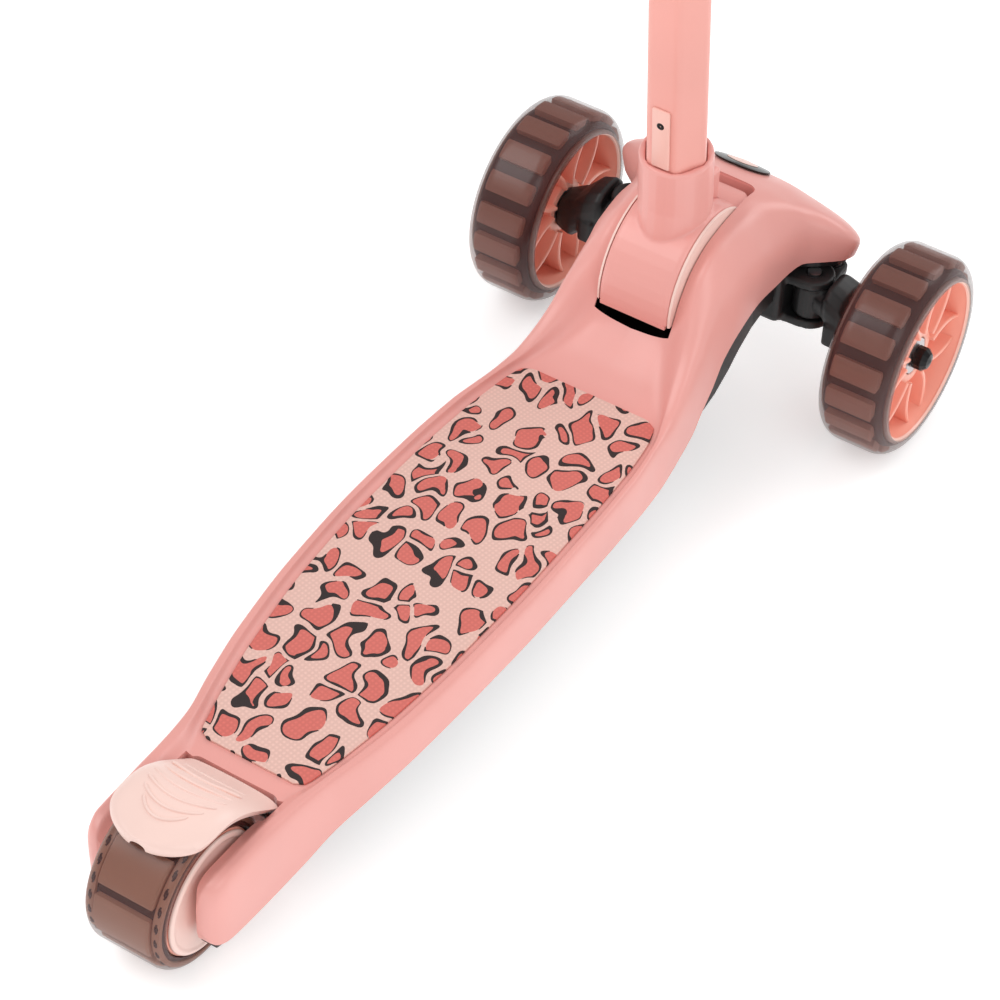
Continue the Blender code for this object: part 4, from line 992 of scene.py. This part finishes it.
def build_bars():
    """T-bar tubes, the welded sleeve and the ribbed grips."""
    bar_at, half, grip_at = 600.0, 157.0, 56.0
    weld = bar_at - 11.0
    down = lathe(STEM_FOOT, UP, tube_section(180.0, weld, 12.7, 11.1, 0.5), 64)
    cross = lathe(along(bar_at), X_AXIS, tube_section(-half, half, 11.0, 9.4, 0.5), 64)
    collar = lathe(STEM_FOOT, UP, tube_section(bar_at - 26.0, weld, 15.3, 12.8, 1.2), 64)
    tee = lathe(along(bar_at), X_AXIS, tube_section(-17.0, 17.0, 14.0, 11.1, 1.5), 64)
    bars = merge([down, cross, collar, tee])
    add_piece("tee_bar", bars, ALLOY_FINISH, "handlebar", ("handlebar",))
    for side, word in SIDES:
        build_grip(along(bar_at, side * grip_at), side, word)


def build_grip(start, side, word):
    """Soft grip: a flange at each end and rings of ribs between them."""
    length, bore = 105.0, 11.3
    profile = [(0.0, bore), (0.0, 18.6), (3.8, 18.6), (5.6, 14.4)]
    for k in range(16):
        at = 8.0 + k * 5.6
        profile += [(at, 14.4), (at + 0.8, 15.5), (at + 3.4, 15.5), (at + 4.2, 14.4)]
    profile += [(length - 4.4, 14.4), (length - 3.0, 17.4), (length - 0.4, 16.0), (length + 0.4, 3.0),
                (length - 3.4, 3.0), (length - 3.4, bore)]
    if side < 0.0:
        profile = [(-t, r) for t, r in profile[::-1]]
    ring = lathe(start, X_AXIS, rounded(profile, 0.5, 2), 64)
    add_piece("grip_sleeve_" + word, ring, RUBBER_FINISH, "handlebar", ("grip_" + word,))


CAD_FINISHES = (
    (BLACK_FINISH, ("belly_pan", "underplate_left", "underplate_right", "fork_cover_left",
                    "fork_cover_right")),
    (RUBBER_FINISH, ("drum_seal",)),
    (NUT_FINISH, ("hub_nut_left", "hub_nut_right")),
    (CREAM_FINISH, ("fold_trim_left", "fold_trim_right")),
    (STEEL_FINISH, ("bearing_left_inner", "bearing_left_outer", "bearing_right_inner",
                    "bearing_right_outer", "rear_bearing_left", "rear_bearing_right",
                    "axle_bolt_left", "axle_bolt_right", "rear_axle", "rear_spacer",
                    "light_core_left", "light_core_right", "kingpin_left", "kingpin_right",
                    "tie_rod", "hinge_bracket", "hinge_pin", "fender_pin", "fender_spring",
                    "release_spring", "clamp_bolt")),
)


def finish_cad_nodes():
    """Material of each CAD node that stays visible."""
    for finish, names in CAD_FINISHES:
        for name in names:
            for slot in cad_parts[name].material_slots:
                slot.material = finish


# ---------------------------------------------------------------- studio

def build_studio():
    """Pale floor, soft light from all round and a large soft key light."""
    made = bmesh.new()
    bmesh.ops.create_grid(made, x_segments=1, y_segments=1, size=12.0)
    mesh = bpy.data.meshes.new("studio_floor")
    made.to_mesh(mesh)
    made.free()
    floor = bpy.data.objects.new("studio_floor", mesh)
    bpy.context.collection.objects.link(floor)
    paper = grained("floor_white", (0.93, 0.93, 0.93), 0.3, drift=0.01)
    glow = paper.node_tree.nodes["Principled BSDF"]
    glow.inputs["Emission Color"].default_value = (1.0, 1.0, 1.0, 1.0)
    glow.inputs["Emission Strength"].default_value = 0.42
    floor.data.materials.append(paper)
    world = bpy.data.worlds.new("studio")
    bpy.context.scene.world = world
    world.use_nodes = True
    world.node_tree.nodes["Background"].inputs["Color"].default_value = (1.0, 1.0, 1.0, 1.0)
    world.node_tree.nodes["Background"].inputs["Strength"].default_value = 0.6
    lights = (("key", (-1.3, -0.9, 2.2), 24.0, 1.6), ("side", (1.8, -0.9, 1.8), 15.0, 1.6),
              ("back", (0.9, 2.2, 1.6), 17.0, 1.5))
    for name, spot, power, size in lights:
        add_light(name, Vector(spot), power, size)


def add_light(name, spot, power, size):
    data = bpy.data.lights.new(name, "AREA")
    data.energy = power
    data.size = size
    light = bpy.data.objects.new(name, data)
    bpy.context.collection.objects.link(light)
    aim = Vector((0.0, 0.0, 0.08)) - spot
    light.location = spot
    light.rotation_euler = aim.to_track_quat("-Z", "Y").to_euler()


def build_camera():
    """Looks down on the deck from behind, to the rider's right."""
    azimuth, elevation, roll = (math.radians(a) for a in (30.82, 43.91, 2.68))
    eye = Vector((0.6679, -1.0984, 1.3170))
    back = Vector((math.sin(azimuth) * math.cos(elevation), -math.cos(azimuth) * math.cos(elevation),
                   math.sin(elevation)))
    right = Vector((math.cos(azimuth), math.sin(azimuth), 0.0))
    up = back.cross(right)
    across = math.cos(roll) * right + math.sin(roll) * up
    rise = -math.sin(roll) * right + math.cos(roll) * up
    data = bpy.data.cameras.new("photo_camera")
    data.lens = 122.4
    data.sensor_width = 36.0
    camera = bpy.data.objects.new("photo_camera", data)
    bpy.context.collection.objects.link(camera)
    camera.matrix_world = Matrix(((across.x, rise.x, back.x, eye.x), (across.y, rise.y, back.y, eye.y),
                                  (across.z, rise.z, back.z, eye.z), (0.0, 0.0, 0.0, 1.0)))
    bpy.context.scene.camera = camera
    bpy.context.scene.view_settings.view_transform = "Standard"


build_camera()
build_studio()
build_shell()
build_pocket_lining()
build_shroud()
build_mat()
build_badge()
for side_sign, side_word in SIDES:
    build_front_wheel(side_sign, side_word)
build_rear_wheel()
build_fender()
build_stem()
build_drum()
build_steering()
build_clamp()
build_bars()
finish_cad_nodes()
